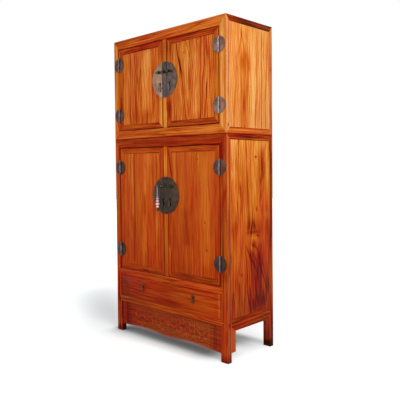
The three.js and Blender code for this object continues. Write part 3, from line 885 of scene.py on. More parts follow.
def vine_strokes():
    """Stem, scrolls, small curls and leaves of the right half."""
    strokes = [[((x, vine_height(x)), STEM_HALF) for x in STEM]]
    for k in range(VINE_SCROLLS):
        x = VINE_START + VINE_STEP * k
        upper = 1 - k % 2
        hand = -1 if upper else 1
        centre = (x + SCROLL_DRIFTS[k], SCROLL_HEIGHTS[upper] + SCROLL_DRIFTS[-k] / 2)
        curl = (x + 1, CURL_HEIGHTS[upper])
        strokes.append(spiral(centre, SCROLL_START, SCROLL_RADII[k], SCROLL_TURNS, hand, SCROLL_HALF))
        strokes.append(spiral(curl, CURL_START, CURL_RADIUS, CURL_TURNS, hand, CURL_HALF))
        if k < VINE_SCROLLS - 1:
            root = (x + LEAF_ROOT, vine_height(x + LEAF_ROOT))
            for aside, way, half in LEAVES:
                tip = (x + aside, LEAF_TIPS[upper if way > 0 else 1 - upper])
                strokes.append(bow(root, tip, LEAF_BOW * way * hand, half, thin_end=0.5))
    return strokes


def carving_strokes(edge_height):
    """Every stroke of the carving as points with half widths, in metres."""
    strokes = [*vine_strokes(), straight(FRET, FRET_HALF), straight(DIVIDER, DIVIDER_HALF)]
    mirrored = [[((-x, z), w) for (x, z), w in stroke] for stroke in strokes]
    for i in range(PETALS):
        angle = 2 * math.pi * (i + 0.5) / PETALS
        root, tip = (around(FLOWER, reach, angle) for reach in PETAL_REACH)
        strokes.append(bow(root, tip, 0, PETAL_HALF, 14, 0.5, 0.5))
    strokes.append([(FLOWER, FLOWER_HALF)])
    scaled = [[((x * MM, z * MM), w * MM) for (x, z), w in stroke] for stroke in strokes + mirrored]
    low, high = corners("front_apron")
    rim = [low.x + (high.x - low.x) * i / RIM_POINTS for i in range(RIM_POINTS + 1)]
    scaled.append([((x, edge_height(x) + RIM_INSET), RIM_HALF) for x in rim])
    return scaled


def lower_edge(node):
    """Height of an apron's curved lower edge at any x, from the CAD node."""
    low, high = corners(node)
    found = {}
    for vertex in frame["nodes"][node].data.vertices:
        x, y, z = vertex.co
        if y < low.y + SKIN and z < high.z - 5 * SKIN:
            found[round(x, 5)] = min(z, found.get(round(x, 5), z))
    places = sorted(found.items())

    def height(x):
        x = min(max(x, places[0][0]), places[-1][0])
        for (x0, z0), (x1, z1) in zip(places, places[1:]):
            if x <= x1:
                return z0 + (z1 - z0) * (x - x0) / (x1 - x0)
        return places[-1][1]

    return height


def carved_apron(apron_wood):
    """The apron's front as a fine grid that stands high at strokes and borders, and its flat back."""
    low, high = corners("front_apron")
    edge_height = lower_edge("front_apron")
    samples = [sample for stroke in carving_strokes(edge_height) for sample in stroke]
    tree = kdtree.KDTree(len(samples))
    for i, ((x, z), width) in enumerate(samples):
        tree.insert((x, 0.0, z), i)
    tree.balance()
    bm = bmesh.new()
    shade = bm.verts.layers.float.new("carved")
    front = []
    for i in range(CARVING_COLUMNS + 1):
        x = low.x + (high.x - low.x) * i / CARVING_COLUMNS
        bottom = edge_height(x)
        column = []
        for j in range(CARVING_ROWS + 1):
            z = bottom + (high.z - bottom) * j / CARVING_ROWS
            level = 0.0
            for place, index, distance in tree.find_n((x, 0.0, z), NEAR_STROKES):
                share = distance / samples[index][1]
                level = max(level, math.sqrt(max(0.0, 1 - share * share)))
            margins = (z - bottom, high.z - z, END_BLOCK - abs(x))
            border = min(margin / slope for margin, slope in zip(margins, BORDER))
            level = max(level, 1 - min(1.0, max(0.0, border)))
            vertex = bm.verts.new((x, low.y + RELIEF * (1 - level), z))
            vertex[shade] = level
            column.append(vertex)
        front.append(column)
    back = [[bm.verts.new((column[k].co.x, high.y, column[k].co.z)) for k in (0, -1)] for column in front]
    for column, beside, rear, rear_beside in zip(front, front[1:], back, back[1:]):
        for j in range(CARVING_ROWS):
            bm.faces.new((column[j], beside[j], beside[j + 1], column[j + 1]))
        bm.faces.new((rear[0], rear[1], rear_beside[1], rear_beside[0]))
        bm.faces.new((beside[0], column[0], rear[0], rear_beside[0]))
        bm.faces.new((column[-1], beside[-1], rear_beside[1], rear[1]))
    bm.faces.new([back[0][0], *front[0], back[0][1]])
    bm.faces.new([back[-1][1], *reversed(front[-1]), back[-1][0]])
    bmesh.ops.recalc_face_normals(bm, faces=bm.faces)
    mesh = mesh_of(bm, "front_apron_carved")
    mesh.set_sharp_from_angle(angle=SHARP)
    apron = new_object("front_apron_carved", mesh, body_of("front_apron"))
    paint(apron, (apron_wood,))
    smooth(mesh)
    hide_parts("front_apron")


# Metalwork

PLATE = 2 * MM
BARREL = 5.5 * MM
HINGE_PINS = (-55, 0, 55)
HINGE_PIN_REACH = 0.74
LOCK_PIN_REACH = 0.88
HINGE_EDGE = 0.7 * MM
METAL_EDGE = 0.8 * MM
STAPLE_Y = -258.3 * MM
UPPER_PIN_HEIGHT = 1906.75 * MM
UPPER_PIN_RADIUS = 2.6 * MM
UPPER_PIN_EDGE = 0.6 * MM

# The upper pin's stretches: body, both ends along X in millimetres, and the end that has a knob
UPPER_PINS = {
    "left": ("upper_left_door", -74.0, -24.0, -1),
    "middle": ("upper_centre_post", -21.6, 21.6, 0),
    "right": ("upper_right_door", 24.0, 72.0, 1),
}


def round_plate(node, axis_x, way, reach_share, directions, materials, edge, is_second):
    """A plate of a round fitting, with pin heads near its rim. is_second picks the second material."""
    low, high = corners(node)
    centre = (axis_x, (low.z + high.z) / 2)
    reach = (high.z - low.z) / 2 * reach_share
    pins = [around(centre, reach, math.radians(degrees)) for degrees in directions]
    pins = [(axis_x + way * (x - axis_x), z) for x, z in pins]
    face = high.y - PLATE
    dressed(node, materials, edge, lambda centre, normal: is_second(centre, face), pins=pins, pin_face=face)


def hinge_leaf(node, way, plate_metal, barrel_metal):
    """A half of a round hinge. Its plate reaches from the barrel along X, one way or the other."""
    low, high = corners(node)
    axis_x = low.x + BARREL if way > 0 else high.x - BARREL

    def on_barrel(centre, face):
        return abs(centre.x - axis_x) < BARREL and centre.y < face - 0.4 * MM

    metals = (plate_metal, barrel_metal)
    round_plate(node, axis_x, way, HINGE_PIN_REACH, HINGE_PINS, metals, HINGE_EDGE, on_barrel)


def lock_plate(node, directions, plate_metal, staple_metal):
    """A segment of a round lock plate with its staple."""
    metals = (plate_metal, staple_metal)
    round_plate(
        node, 0.0, 1, LOCK_PIN_REACH, directions, metals, METAL_EDGE,
        lambda centre, face: centre.y < face - 1.4 * MM,
    )


def upper_pin(word, body, low_x, high_x, knob, pin_metal):
    """A stretch of the thin pin through the upper staples."""
    name = f"upper_pin_{word}"
    low_x, high_x = low_x * MM, high_x * MM
    bm = bmesh.new()
    turn = Matrix.Rotation(math.radians(90), 4, "Y")
    bmesh.ops.create_cone(
        bm, cap_ends=True, segments=20, radius1=UPPER_PIN_RADIUS, radius2=UPPER_PIN_RADIUS,
        depth=high_x - low_x,
        matrix=Matrix.Translation(((low_x + high_x) / 2, STAPLE_Y, UPPER_PIN_HEIGHT)) @ turn,
    )
    if knob:
        end = Matrix.Translation((high_x if knob > 0 else low_x, STAPLE_Y, UPPER_PIN_HEIGHT))
        radius = UPPER_PIN_RADIUS * 1.5
        bmesh.ops.create_uvsphere(bm, u_segments=16, v_segments=10, radius=radius, matrix=end)
    pin = new_object(name, mesh_of(bm, name), body)
    paint(pin, (pin_metal,))
    round_edges(pin, UPPER_PIN_EDGE)


# Bead string: a cord from the lock bar down through its beads into a tassel

STRING_X = -63 * MM
STRING_Y = -264.6 * MM
STRING_TOP = 1120.5 * MM
STRING_POINTS = 16
CORD_RADIUS = 1.3 * MM
BAR_RADIUS = 4.5 * MM
BAR_HEIGHT = 1118 * MM
LOOP_STEPS = 36
LOOP_SIDES = 10
BEAD_HOLE = 2.0
BEAD_STEPS = 14
BEAD_SIDES = 28

# Radius, half height and height of the top, in millimetres, and the glaze
BEADS = (
    (3.8, 3.2, 1108.0, "mauve"),
    (4.2, 3.6, 1099.5, "mauve"),
    (4.4, 3.8, 1090.0, "mauve"),
    (4.8, 4.0, 1080.0, "mauve"),
    (5.2, 4.2, 1070.0, "mauve"),
    (5.6, 4.4, 1059.0, "mauve"),
    (6.0, 5.0, 1047.0, "violet"),
    (9.0, 7.0, 1036.0, "rose"),
    (12.0, 9.0, 1021.0, "rose"),
    (13.5, 10.0, 1002.0, "pale"),
    (11.0, 8.0, 981.0, "white"),
)
TASSEL_TOP = 964.6 * MM
TASSEL_END = 941.0 * MM
TASSEL_KNOT = 0.22
TASSEL_STRANDS = 18
TASSEL_ROWS = 16
TASSEL_REACH = 7.0
KNOT_GIRTH = 4.6
NECK_GIRTH = 2.6
SKIRT_GIRTH = 4.3
KNOT_FLUTE = 0.03
SKIRT_FLUTE = 0.16


def on_string(name, rings, material, closed=False):
    """A closed surface through rings of places. It hangs from the lock bar with the beads."""
    bm = bmesh.new()
    bridge(bm, [[bm.verts.new(place) for place in ring] for ring in rings], closed)
    made = new_object(name, mesh_of(bm, name), "lock_bar")
    paint(made, (material,))
    smooth(made.data)
    return made


def level_ring(height, angles, reaches):
    """A ring round the cord. Reaches are in millimetres."""
    middle = (STRING_X, STRING_Y)
    return [(*around(middle, reach * MM, angle), height) for angle, reach in zip(angles, reaches)]


def bead(number, radius, half_height, top, material):
    """A turned bead with a small hole's lip at each end."""
    angles = [2 * math.pi * j / BEAD_SIDES for j in range(BEAD_SIDES)]
    start = math.acos(BEAD_HOLE / radius)
    rings = []
    for i in range(BEAD_STEPS + 1):
        angle = start * (1 - 2 * i / BEAD_STEPS)
        height = (top - half_height + half_height * math.sin(angle)) * MM
        rings.append(level_ring(height, angles, [radius * math.cos(angle)] * BEAD_SIDES))
    return on_string(f"bead_{number}", rings, material)


def tassel(material):
    """Threads gathered under a knot and spreading to their ends."""
    sides = TASSEL_STRANDS * 4
    rings = []
    for i in range(TASSEL_ROWS + 1):
        t = i / TASSEL_ROWS
        if t < TASSEL_KNOT:
            girth = KNOT_GIRTH * math.sin(math.pi * (0.12 + 0.7568 * t / TASSEL_KNOT))
            flute = KNOT_FLUTE
        else:
            girth = NECK_GIRTH + SKIRT_GIRTH * math.sqrt((t - TASSEL_KNOT) / (1 - TASSEL_KNOT))
            flute = SKIRT_FLUTE
        angles = [2 * math.pi * j / sides + 0.5 * t for j in range(sides)]
        reaches = []
        for angle in angles:
            ripple = 1 + flute * math.cos(TASSEL_STRANDS * angle) + 0.05 * math.sin(7 * angle + 9 * t)
            reaches.append(min(girth * ripple, TASSEL_REACH))
        rings.append(level_ring(TASSEL_TOP + (TASSEL_END - TASSEL_TOP) * t, angles, reaches))
    return on_string("tassel", rings, material)


def string_loop(material):
    """The loop of the cord round the lock bar."""
    middle = Vector((STRING_X, STAPLE_Y, BAR_HEIGHT))
    aside = Vector((1, 0, 0))
    rings = []
    for i in range(LOOP_STEPS):
        out = Vector((0, *around((0, 0), 1, 2 * math.pi * i / LOOP_STEPS)))
        centre = middle + out * (BAR_RADIUS + CORD_RADIUS)
        turns = [around((0, 0), CORD_RADIUS, 2 * math.pi * j / LOOP_SIDES) for j in range(LOOP_SIDES)]
        rings.append([centre + out * u + aside * v for u, v in turns])
    return on_string("cord_loop", rings, material, closed=True)


def bead_string(cord_material, bead_materials, tassel_material):
    end = TASSEL_TOP - 3 * MM
    curve = bpy.data.curves.new("bead_string_cord", "CURVE")
    curve.dimensions = "3D"
    curve.bevel_depth = CORD_RADIUS
    curve.bevel_resolution = 3
    spline = curve.splines.new("POLY")
    spline.points.add(STRING_POINTS - 1)
    for i, point in enumerate(spline.points):
        point.co = (STRING_X, STRING_Y, STRING_TOP + (end - STRING_TOP) * i / (STRING_POINTS - 1), 1.0)
    curve.materials.append(cord_material)
    cord = new_object("bead_string_cord", curve, "lock_bar")
    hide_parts("bead_string")
    pieces = [bead(i + 1, *sizes, bead_materials[word]) for i, (*sizes, word) in enumerate(BEADS)]
    pieces.append(tassel(tassel_material))
    pieces.append(string_loop(cord_material))


# Woods of every member, with the marks that each one shows

# Dark lines in joints, dirt and painted shade in the gaps: axis, place and half width. Posts meet the doors
# at 0.502 and a panel at 0.217.
POST_LINES = (("X", -0.5025, 0.0035), ("X", 0.5025, 0.0035), ("Y", -0.217, 0.003), ("Y", 0.217, 0.003))
GAP_LINES = (("X", -0.5004, 0.003), ("X", -0.0236, 0.0028), ("X", 0.0236, 0.0028), ("X", 0.5004, 0.003))
FINE_GAP_LINES = tuple((axis, at, 0.6 * width) for axis, at, width in GAP_LINES)
PANEL_LINES = tuple(("X", at, 0.0016) for at in (-0.4584, -0.0656, 0.0656, 0.4584))


def make_woods():
    """Each call gives the cut, the tone, a seed and then whatever differs from plain wood."""
    woods = {}

    def add(key, *sizes, **marks):
        woods[key] = wood(key + "_wood", *sizes, **marks)

    # Upper chest
    add("upper_post_left", "front_up", 0.64, 1.3, wander=0.02, pith=-0.62, late=0.09, lines=POST_LINES,
        streaks=((-0.512, 0.006, 1.46, 2.16, -0.1), (-0.535, 0.01, 1.6, 2.2, 0.08, 0.01)),
        knots=((-0.532, 1.512, 0.006),))
    add("upper_post_right", "front_up", 0.78, 2.1, wander=0.02, pith=0.64, late=0.09, lines=POST_LINES,
        streaks=((0.522, 0.008, 1.5, 2.1, 0.08), (0.545, 0.005, 1.46, 2.2, -0.08, 0.01)))
    # The posts' outer sides take a paler copy of the post wood: painted light on the lit side
    add("upper_post_side", "side_up", 0.85, 3.1, wander=0.02, pith=-0.4, late=0.09, lines=POST_LINES,
        rich=0.93, patches=((-0.222, 1.512, 0.006, 0.012, -0.26),))
    add("upper_back_post", "side_up", 0.78, 3.7, wander=0.02, pith=0.3, lines=POST_LINES, rich=0.94,
        streaks=((0.225, 0.004, 1.5, 2.1, -0.1),),
        patches=((0.222, 1.91, 0.012, 0.02, -0.08), (0.232, 2, 0.02, 0.16, -0.03)))
    add("upper_top_rail", "front_across", 0.6, 4.2, wander=0.015, pith=2.4, broad=0.3,
        lines=(("Z", 2.134, 0.004),),
        patches=((2.17, -0.5, 0.1, 0.16, -0.07), (2.17, 0.42, 0.1, 0.22, 0.07)))
    add("upper_side_rail", "side_across", 0.2, 5.8, wander=0.012, pith=2.3, broad=0.3,
        lines=(("Z", 2.163, 0.003),), patches=((2.18, -0.2, 0.1, 0.06, 0.1),))
    add("upper_lid", "flat_across", 0.62, 6.4, pith=0.05, broad=0.4)
    add("upper_foot_rail", "front_across", 0.54, 7.1, wander=0.015, pith=1.3, broad=0.3,
        lines=(("Z", 1.4605, 0.003), ("Z", 1.5235, 0.0025)), patches=((1.49, 0.42, 0.1, 0.22, 0.07),))
    add("upper_side_foot", "side_across", 0.64, 8.6, wander=0.012, pith=1.3, broad=0.34,
        lines=(("Z", 1.4605, 0.003), ("Z", 1.5, 0.003)))
    add("upper_door_stile", "front_up", 0.58, 9.2, wander=0.02, pith=-0.75, late=0.1,
        lines=(("X", 0.499, 0.004), *GAP_LINES[1:3], *PANEL_LINES),
        streaks=(
            (-0.475, 0.022, 1.5, 2.15, -0.1), (0.045, 0.014, 1.58, 1.7, -0.14),
            (-0.04, 0.014, 1.5, 1.72, 0.12),
        ), patches=((-0.49, 1.7, 0.03, 0.08, -0.08), (0, 2.06, 0.1, 0.06, -0.08)))
    add("upper_door_rail", "front_across", 0.39, 10.5, wander=0.015, pith=2.6, broad=0.24, gold=0.3,
        lines=(
            ("Z", 2.1314, 0.0035), ("Z", 1.5249, 0.0035), ("Z", 2.0914, 0.002), ("Z", 1.5649, 0.002),
        ),
        patches=(
            (2.11, -0.44, 0.1, 0.06, 0.05), (2.11, 0.42, 0.1, 0.08, 0.05), (2.11, 0.22, 0.1, 0.2, 0.04),
            (1.545, -0.25, 0.1, 0.2, 0.03),
        ))
    add("upper_centre_post", "front_up", 0.66, 11.9, wander=0.012, pith=0.2, late=0.1,
        lines=(("X", 0.022, 0.0035),), patches=((0, 2.08, 0.2, 0.12, -0.05), (0, 1.64, 0.2, 0.1, 0.08)))
    add("upper_left_panel", "front_up", 0.655, 12.4, wander=0.055, pith=-0.24, sawn=0.03, taper=0.1,
        rings=62, late=0.2, broad=0.16, vein=0.34, gold=0.22,
        streaks=(
            (-0.375, 0.006, 1.6, 2.08, -0.15, 0.03), (-0.318, 0.005, 1.56, 2.09, -0.18, -0.02),
            (-0.345, 0.005, 1.6, 1.95, -0.07), (-0.415, 0.014, 1.58, 1.95, 0.06, 0.05),
            (-0.19, 0.05, 1.65, 2.09, 0.1),
        ),
        patches=(
            (-0.25, 1.61, 0.09, 0.07, -0.07), (-0.12, 1.75, 0.04, 0.16, -0.05),
            (-0.33, 1.85, 0.05, 0.25, 0.035),
        ))
    add("upper_right_panel", "front_up", 0.69, 13.8, wander=0.06, pith=0.23, sawn=0.02, taper=-0.09,
        rings=62, late=0.24, broad=0.16, vein=0.34, gold=0.25,
        streaks=(
            (0.142, 0.007, 1.88, 2.09, -0.26, -0.25), (0.16, 0.005, 1.84, 1.98, -0.16, -0.12),
            (0.34, 0.006, 1.57, 2.11, -0.17), (0.365, 0.007, 1.6, 2.11, -0.13, 0.05),
            (0.388, 0.005, 1.57, 1.8, -0.2, 0.1), (0.185, 0.005, 1.56, 1.8, -0.08, -0.1),
            (0.29, 0.03, 1.6, 2, 0.06), (0.215, 0.02, 1.7, 2.05, 0.08),
        ), patches=((0.395, 1.85, 0.05, 0.25, 0.035),),
        knots=((0.19, 2.015, 0.012), (0.32, 2.085, 0.01), (0.245, 1.77, 0.004)))
    add("upper_side_panel", "side_up", 0.86, 14.6, wander=0.05, pith=-0.06, sawn=0.03, taper=0.07,
        rings=62, late=0.16, broad=0.18, vein=0.22, gold=0.2,
        streaks=(
            (0.03, 0.022, 1.62, 2.13, 0.05), (0.118, 0.004, 1.5, 2.16, -0.22),
            (0.172, 0.005, 1.5, 2, -0.16, 0.03), (0.145, 0.003, 1.5, 2.16, -0.1),
            (0.06, 0.004, 1.5, 2, -0.1), (-0.075, 0.006, 1.96, 2.13, -0.14, -0.25),
            (-0.1, 0.006, 1.96, 2.12, -0.12, 0.2), (-0.155, 0.004, 1.5, 1.9, -0.1, 0.1),
        ),
        patches=(
            (-0.065, 1.93, 0.035, 0.06, -0.18), (-0.06, 1.78, 0.045, 0.12, -0.1),
            (-0.05, 1.64, 0.05, 0.1, -0.08), (-0.06, 1.53, 0.05, 0.05, -0.06),
            (0.2, 2.05, 0.02, 0.1, -0.1),
        ), joints=((-0.011, 0.05),))
    add("upper_back_panel", "front_up", 0.58, 15.5, pith=0.08, wander=0.05)
    add("upper_floor", "flat_across", 0.56, 16.3, pith=-0.04)

    # Lower cabinet
    add("lower_post_left", "front_up", 0.41, 21.3, wander=0.02, pith=-0.62, late=0.09, foot=0.22,
        lines=POST_LINES, streaks=((-0.512, 0.006, 0.1, 1.44, -0.08), (-0.545, 0.012, 0.4, 1.44, 0.06)),
        knots=((-0.532, 0.24, 0.007),))
    add("lower_post_right", "front_up", 0.42, 22.1, wander=0.02, pith=0.64, late=0.09, foot=0.22,
        lines=(("X", 0.5025, 0.0018), *POST_LINES[2:]),
        streaks=((0.52, 0.008, 0.6, 1.4, -0.06), (0.545, 0.005, 0.2, 1.2, 0.06, 0.01)))
    # The posts' outer sides take a paler copy of the post wood: painted light on the lit side
    add("lower_post_side", "side_up", 0.54, 23.1, wander=0.02, pith=-0.4, late=0.09, foot=0.22,
        rich=0.97, lines=POST_LINES, painted_falloff=0.1, patches=((-0.222, 0.24, 0.006, 0.014, -0.26),))
    add("lower_back_post", "side_up", 0.5, 23.7, wander=0.02, pith=0.3, foot=0.8, lines=POST_LINES,
        streaks=((0.239, 0.01, 0, 0.26, -0.2), (0.225, 0.008, 0.75, 1.35, -0.12)),
        patches=((0.225, 0.1, 0.05, 0.12, -0.07),))
    add("lower_top_rail", "front_across", 0.365, 24.2, wander=0.015, pith=1.7, broad=0.22, vein=0.14,
        gold=0.25, lines=(("Z", 1.4595, 0.003), ("Z", 1.3935, 0.003)))
    # On the lower side rail, the dark patch at 1.441 is painted shadow under the upper chest's foot rail
    add("lower_side_rail", "side_across", 0.46, 25.8, wander=0.012, pith=1.6, broad=0.34,
        lines=(("Z", 1.4595, 0.003), ("Z", 1.4225, 0.003)),
        patches=((1.441, -0.02, 0.009, 0.16, -0.16), (1.424, 0.02, 0.004, 0.2, -0.12)))
    add("lower_lid", "flat_across", 0.5, 26.4, pith=0.05)
    add("lower_door_stile", "front_up", 0.5, 27.2, wander=0.02, pith=-0.75, late=0.06, painted_falloff=0.14,
        broad=0.16, vein=0.1, gold=0.1, lines=FINE_GAP_LINES,
        streaks=(
            (0.034, 0.006, 0.49, 0.7, 0.12), (0.05, 0.004, 0.49, 0.66, -0.16),
            (0.04, 0.005, 1.19, 1.38, -0.2, -0.18),
        ))
    add("lower_door_rail", "front_across", 0.42, 28.5, wander=0.015, pith=1.9, broad=0.2, painted_falloff=0.12,
        lines=(("Z", 1.3914, 0.003), ("Z", 0.4866, 0.002), ("Z", 1.3514, 0.0015)))
    add("lower_centre_post", "front_up", 0.55, 29.9, wander=0.012, pith=0.2, late=0.05, broad=0.14,
        vein=0.08, gold=0.4, painted_falloff=0.08, lines=(("X", -0.022, 0.002), ("X", 0.022, 0.004)),
        patches=((0, 1.28, 0.2, 0.1, 0.07),))
    add("lower_left_panel", "front_up", 0.54, 30.4, wander=0.04, pith=-0.27, sawn=0.03, taper=0.05,
        rings=66, late=0.07, broad=0.16, vein=0.12, gold=0.25, painted_falloff=0.16,
        streaks=(
            (-0.405, 0.01, 1.12, 1.4, 0.08), (-0.37, 0.01, 0.9, 1.4, 0.1),
            (-0.39, 0.004, 1.16, 1.4, -0.1), (-0.345, 0.006, 0.56, 1.36, -0.12, 0.01),
            (-0.22, 0.02, 1.06, 1.24, 0.07), (-0.225, 0.02, 0.62, 0.9, 0.05),
            (-0.13, 0.005, 0.75, 1.36, -0.08), (-0.095, 0.005, 1.1, 1.36, -0.1),
            (-0.1, 0.012, 0.7, 0.9, 0.05),
        ), patches=((-0.2, 1.3, 0.08, 0.06, 0.04),))
    add("lower_right_panel", "front_up", 0.535, 31.8, wander=0.04, pith=0.25, sawn=0.03, taper=0.05,
        rings=66, late=0.05, broad=0.13, vein=0.09, gold=0.25, painted_falloff=0.16,
        streaks=(
            (0.37, 0.05, 0.6, 1.32, 0.05, 0.02), (0.09, 0.012, 1.1, 1.38, 0.08),
            (0.115, 0.004, 1, 1.38, -0.08), (0.2, 0.05, 0.72, 0.96, -0.05),
            (0.17, 0.004, 0.5, 0.86, -0.07, 0.1), (0.24, 0.004, 0.5, 0.8, -0.07, 0.1),
        ), patches=((0.12, 0.56, 0.1, 0.06, -0.03),),
        knots=((0.305, 1.3, 0.006), (0.365, 0.885, 0.009), (0.38, 0.705, 0.008)))
    add("lower_side_panel", "side_up", 0.625, 32.6, wander=0.05, pith=0.02, sawn=0.03, taper=0.06,
        rings=64, late=0.14, painted_falloff=0.34, broad=0.13, vein=0.36, gold=0.35,
        streaks=(
            (-0.175, 0.022, 1.18, 1.44, 0.08), (-0.145, 0.004, 1.1, 1.4, -0.14),
            (-0.1, 0.003, 0.95, 1.4, -0.12), (-0.062, 0.003, 1, 1.4, -0.14),
            (-0.038, 0.003, 1, 1.4, -0.14), (0, 0.003, 1, 1.3, -0.1), (0.04, 0.014, 1.05, 1.44, 0.03),
            (0.112, 0.018, 1.12, 1.37, -0.08, 0.04), (0.137, 0.005, 1.08, 1.37, -0.16, 0.03),
            (0.155, 0.003, 1.06, 1.4, -0.1, 0.02), (0.18, 0.012, 1.16, 1.42, 0.05),
            (-0.18, 0.003, 0.4, 1, -0.12), (-0.15, 0.003, 0.4, 0.95, -0.1),
            (0, 0.005, 0.56, 0.74, -0.12, -0.52), (0.03, 0.004, 0.5, 0.72, -0.12, -0.55),
            (0.05, 0.004, 0.54, 0.68, -0.08, -0.5), (0.075, 0.005, 0.5, 0.74, -0.12, -0.5),
            (0.13, 0.006, 0.38, 0.66, -0.16, -0.42), (0.165, 0.005, 0.38, 0.62, -0.12, -0.4),
            (-0.045, 0.004, 0.42, 0.7, -0.2, -0.02), (-0.022, 0.005, 0.28, 0.42, -0.22, -0.28),
            (-0.07, 0.004, 0.28, 0.5, -0.12, 0.1), (0.055, 0.006, 0.36, 0.52, -0.16, -0.12),
        ),
        patches=(
            (0.01, 0.855, 0.055, 0.04, -0.12), (0.02, 0.812, 0.05, 0.01, -0.12),
            (0.045, 0.785, 0.012, 0.008, -0.2), (0.09, 0.84, 0.04, 0.06, -0.05),
            (0.03, 0.776, 0.018, 0.007, 0.07), (0.05, 0.75, 0.008, 0.022, 0.09),
            (0.012, 0.712, 0.01, 0.02, 0.06), (0.07, 0.69, 0.06, 0.06, -0.05),
            (0.055, 0.6, 0.08, 0.11, -0.08), (-0.045, 1.14, 0.028, 0.07, -0.05),
            (0.08, 0.56, 0.1, 0.2, -0.05), (0.1, 0.34, 0.11, 0.05, -0.12),
            (0.14, 0.96, 0.06, 0.1, -0.04), (0.17, 0.92, 0.02, 0.03, 0.07),
            (0.06, 0.965, 0.006, 0.014, -0.24), (0.052, 1.313, 0.005, 0.008, -0.24),
            (-0.14, 0.62, 0.05, 0.3, 0.05), (-0.11, 0.52, 0.008, 0.035, 0.12),
            (0.19, 0.8, 0.02, 0.1, -0.08),
        ), knots=((0.052, 1.313, 0.006), (0.035, 0.735, 0.022), (-0.1, 0.545, 0.008)))
    add("lower_back_panel", "front_up", 0.5, 33.5, pith=0.08, wander=0.05)

    # Below the doors
    add("mid_rail", "front_across", 0.45, 34.4, wander=0.015, pith=0.9, broad=0.3, gold=0.25,
        lines=(("Z", 0.4855, 0.003), ("Z", 0.4365, 0.001)),
        patches=((0.46, 0.3, 0.1, 0.25, 0.055), (0.46, -0.3, 0.1, 0.2, -0.03)))
    add("deck", "flat_across", 0.52, 35.3, pith=-0.04)
    add("drawer", "front_across", 0.405, 36.7, wander=0.03, pith=0.3, sawn=0.03, taper=0.02, rings=90,
        late=0.06, broad=0.16, vein=0.12, gold=0.25,
        lines=(("Z", 0.4354, 0.0012), ("Z", 0.2766, 0.0008), ("X", 0.5004, 0.001)),
        patches=(
            (0.36, -0.46, 0.12, 0.06, -0.06), (0.36, 0.36, 0.2, 0.14, 0.025),
            (0.38, 0.49, 0.2, 0.01, 0.08),
        ))
    add("bottom_rail", "front_across", 0.43, 37.4, wander=0.015, pith=0.7, broad=0.3, gold=0.3,
        patches=((0.25, -0.3, 0.1, 0.2, -0.03), (0.25, 0.3, 0.1, 0.2, 0.035)),
        lines=(("Z", 0.2755, 0.0008), ("Z", 0.231, 0.0022)))
    add("bottom_side_rail", "side_across", 0.41, 38.8, wander=0.012, pith=0.6, broad=0.34,
        lines=(("Z", 0.2755, 0.0022), ("Z", 0.231, 0.0014)))
    add("bottom_floor", "flat_across", 0.5, 39.3, pith=-0.04)
    add("side_apron", "side_across", 0.32, 40.2, wander=0.012, pith=0.5, vein=0.1)
    add("spandrel", "side_up", 0.46, 41.6, wander=0.012, pith=0.2, broad=0.16, vein=0.1, rich=0.985,
        patches=(
            (-0.19, 0.14, 0.03, 0.2, 0.06), (0.19, 0.05, 0.04, 0.08, -0.16),
            (0.19, 0.14, 0.04, 0.1, -0.07),
        ))
    woods["carved_apron"] = carved_wood("carved_apron_wood", 0.49, 42.8)
    add("drawer_inside", "flat_across", 0.68, 44.1, late=0.05, broad=0.22)
    return woods


# Metals: darkest tone, palest tone, roughness, wear, how metallic, and a cast on the middle tone
METALS = {
    "pale_plate": ((0.11, 0.054, 0.027), (0.33, 0.2, 0.115), 0.46, 0.55, 0.55),
    "upper_plate": ((0.04, 0.015, 0.01), (0.13, 0.086, 0.068), 0.42, 0.46, 0.6, (0.75, 0.85, 0.88)),
    # The upper centre segment is darker than the upper plate: partly its own tone and partly painted shade
    # below the staples
    "upper_centre_plate": (
        (0.034, 0.014, 0.01), (0.1, 0.07, 0.062), 0.42, 0.44, 0.6, (0.75, 0.88, 0.95),
    ),
    "lower_plate": ((0.017, 0.007, 0.004), (0.052, 0.034, 0.022), 0.4, 0.42, 0.6, (0.84, 0.8, 0.58)),
    # The three hinge metals are one metal: the paler copy paints light and the deepest paints shade
    "hinge": ((0.05, 0.02, 0.016), (0.21, 0.118, 0.09), 0.42, 0.5, 0.6, (0.98, 0.92, 0.92)),
    "dark_hinge": ((0.022, 0.007, 0.005), (0.104, 0.048, 0.034), 0.42, 0.45, 0.6, (1.0, 0.84, 0.78)),
    "deep_hinge": ((0.013, 0.004, 0.003), (0.06, 0.027, 0.019), 0.44, 0.45, 0.6, (1.0, 0.82, 0.76)),
    "bar": ((0.05, 0.042, 0.036), (0.2, 0.175, 0.155), 0.36, 0.55, 0.7),
    "pull": ((0.02, 0.017, 0.014), (0.105, 0.092, 0.078), 0.42, 0.5, 0.6),
    "dark_pull": ((0.014, 0.01, 0.007), (0.06, 0.048, 0.036), 0.42, 0.45, 0.6),
    "drawer_pull": ((0.03, 0.012, 0.004), (0.12, 0.055, 0.02), 0.45, 0.45),
    "dark_staple": ((0.008, 0.006, 0.005), (0.05, 0.038, 0.03), 0.42, 0.5, 0.6),
    # Barrel metals are paler than the plates: a painted highlight down each barrel, brightest on the upper
    # right hinges
    "hinge_barrel": ((0.09, 0.07, 0.062), (0.28, 0.24, 0.22), 0.34, 0.55, 0.7),
    "dark_barrel": ((0.04, 0.03, 0.028), (0.16, 0.13, 0.125), 0.36, 0.5, 0.7),
}

# Hinges that take a paler copy of the common dark metal, which paints light, or a deeper copy, which paints
# shade
HINGE_METALS = {
    "upper_right_top_hinge": "hinge",
    "upper_right_bottom_hinge": "hinge",
    "lower_left_top_hinge": "deep_hinge",
    "lower_left_bottom_hinge": "deep_hinge",
    "lower_right_bottom_hinge": "deep_hinge",
}

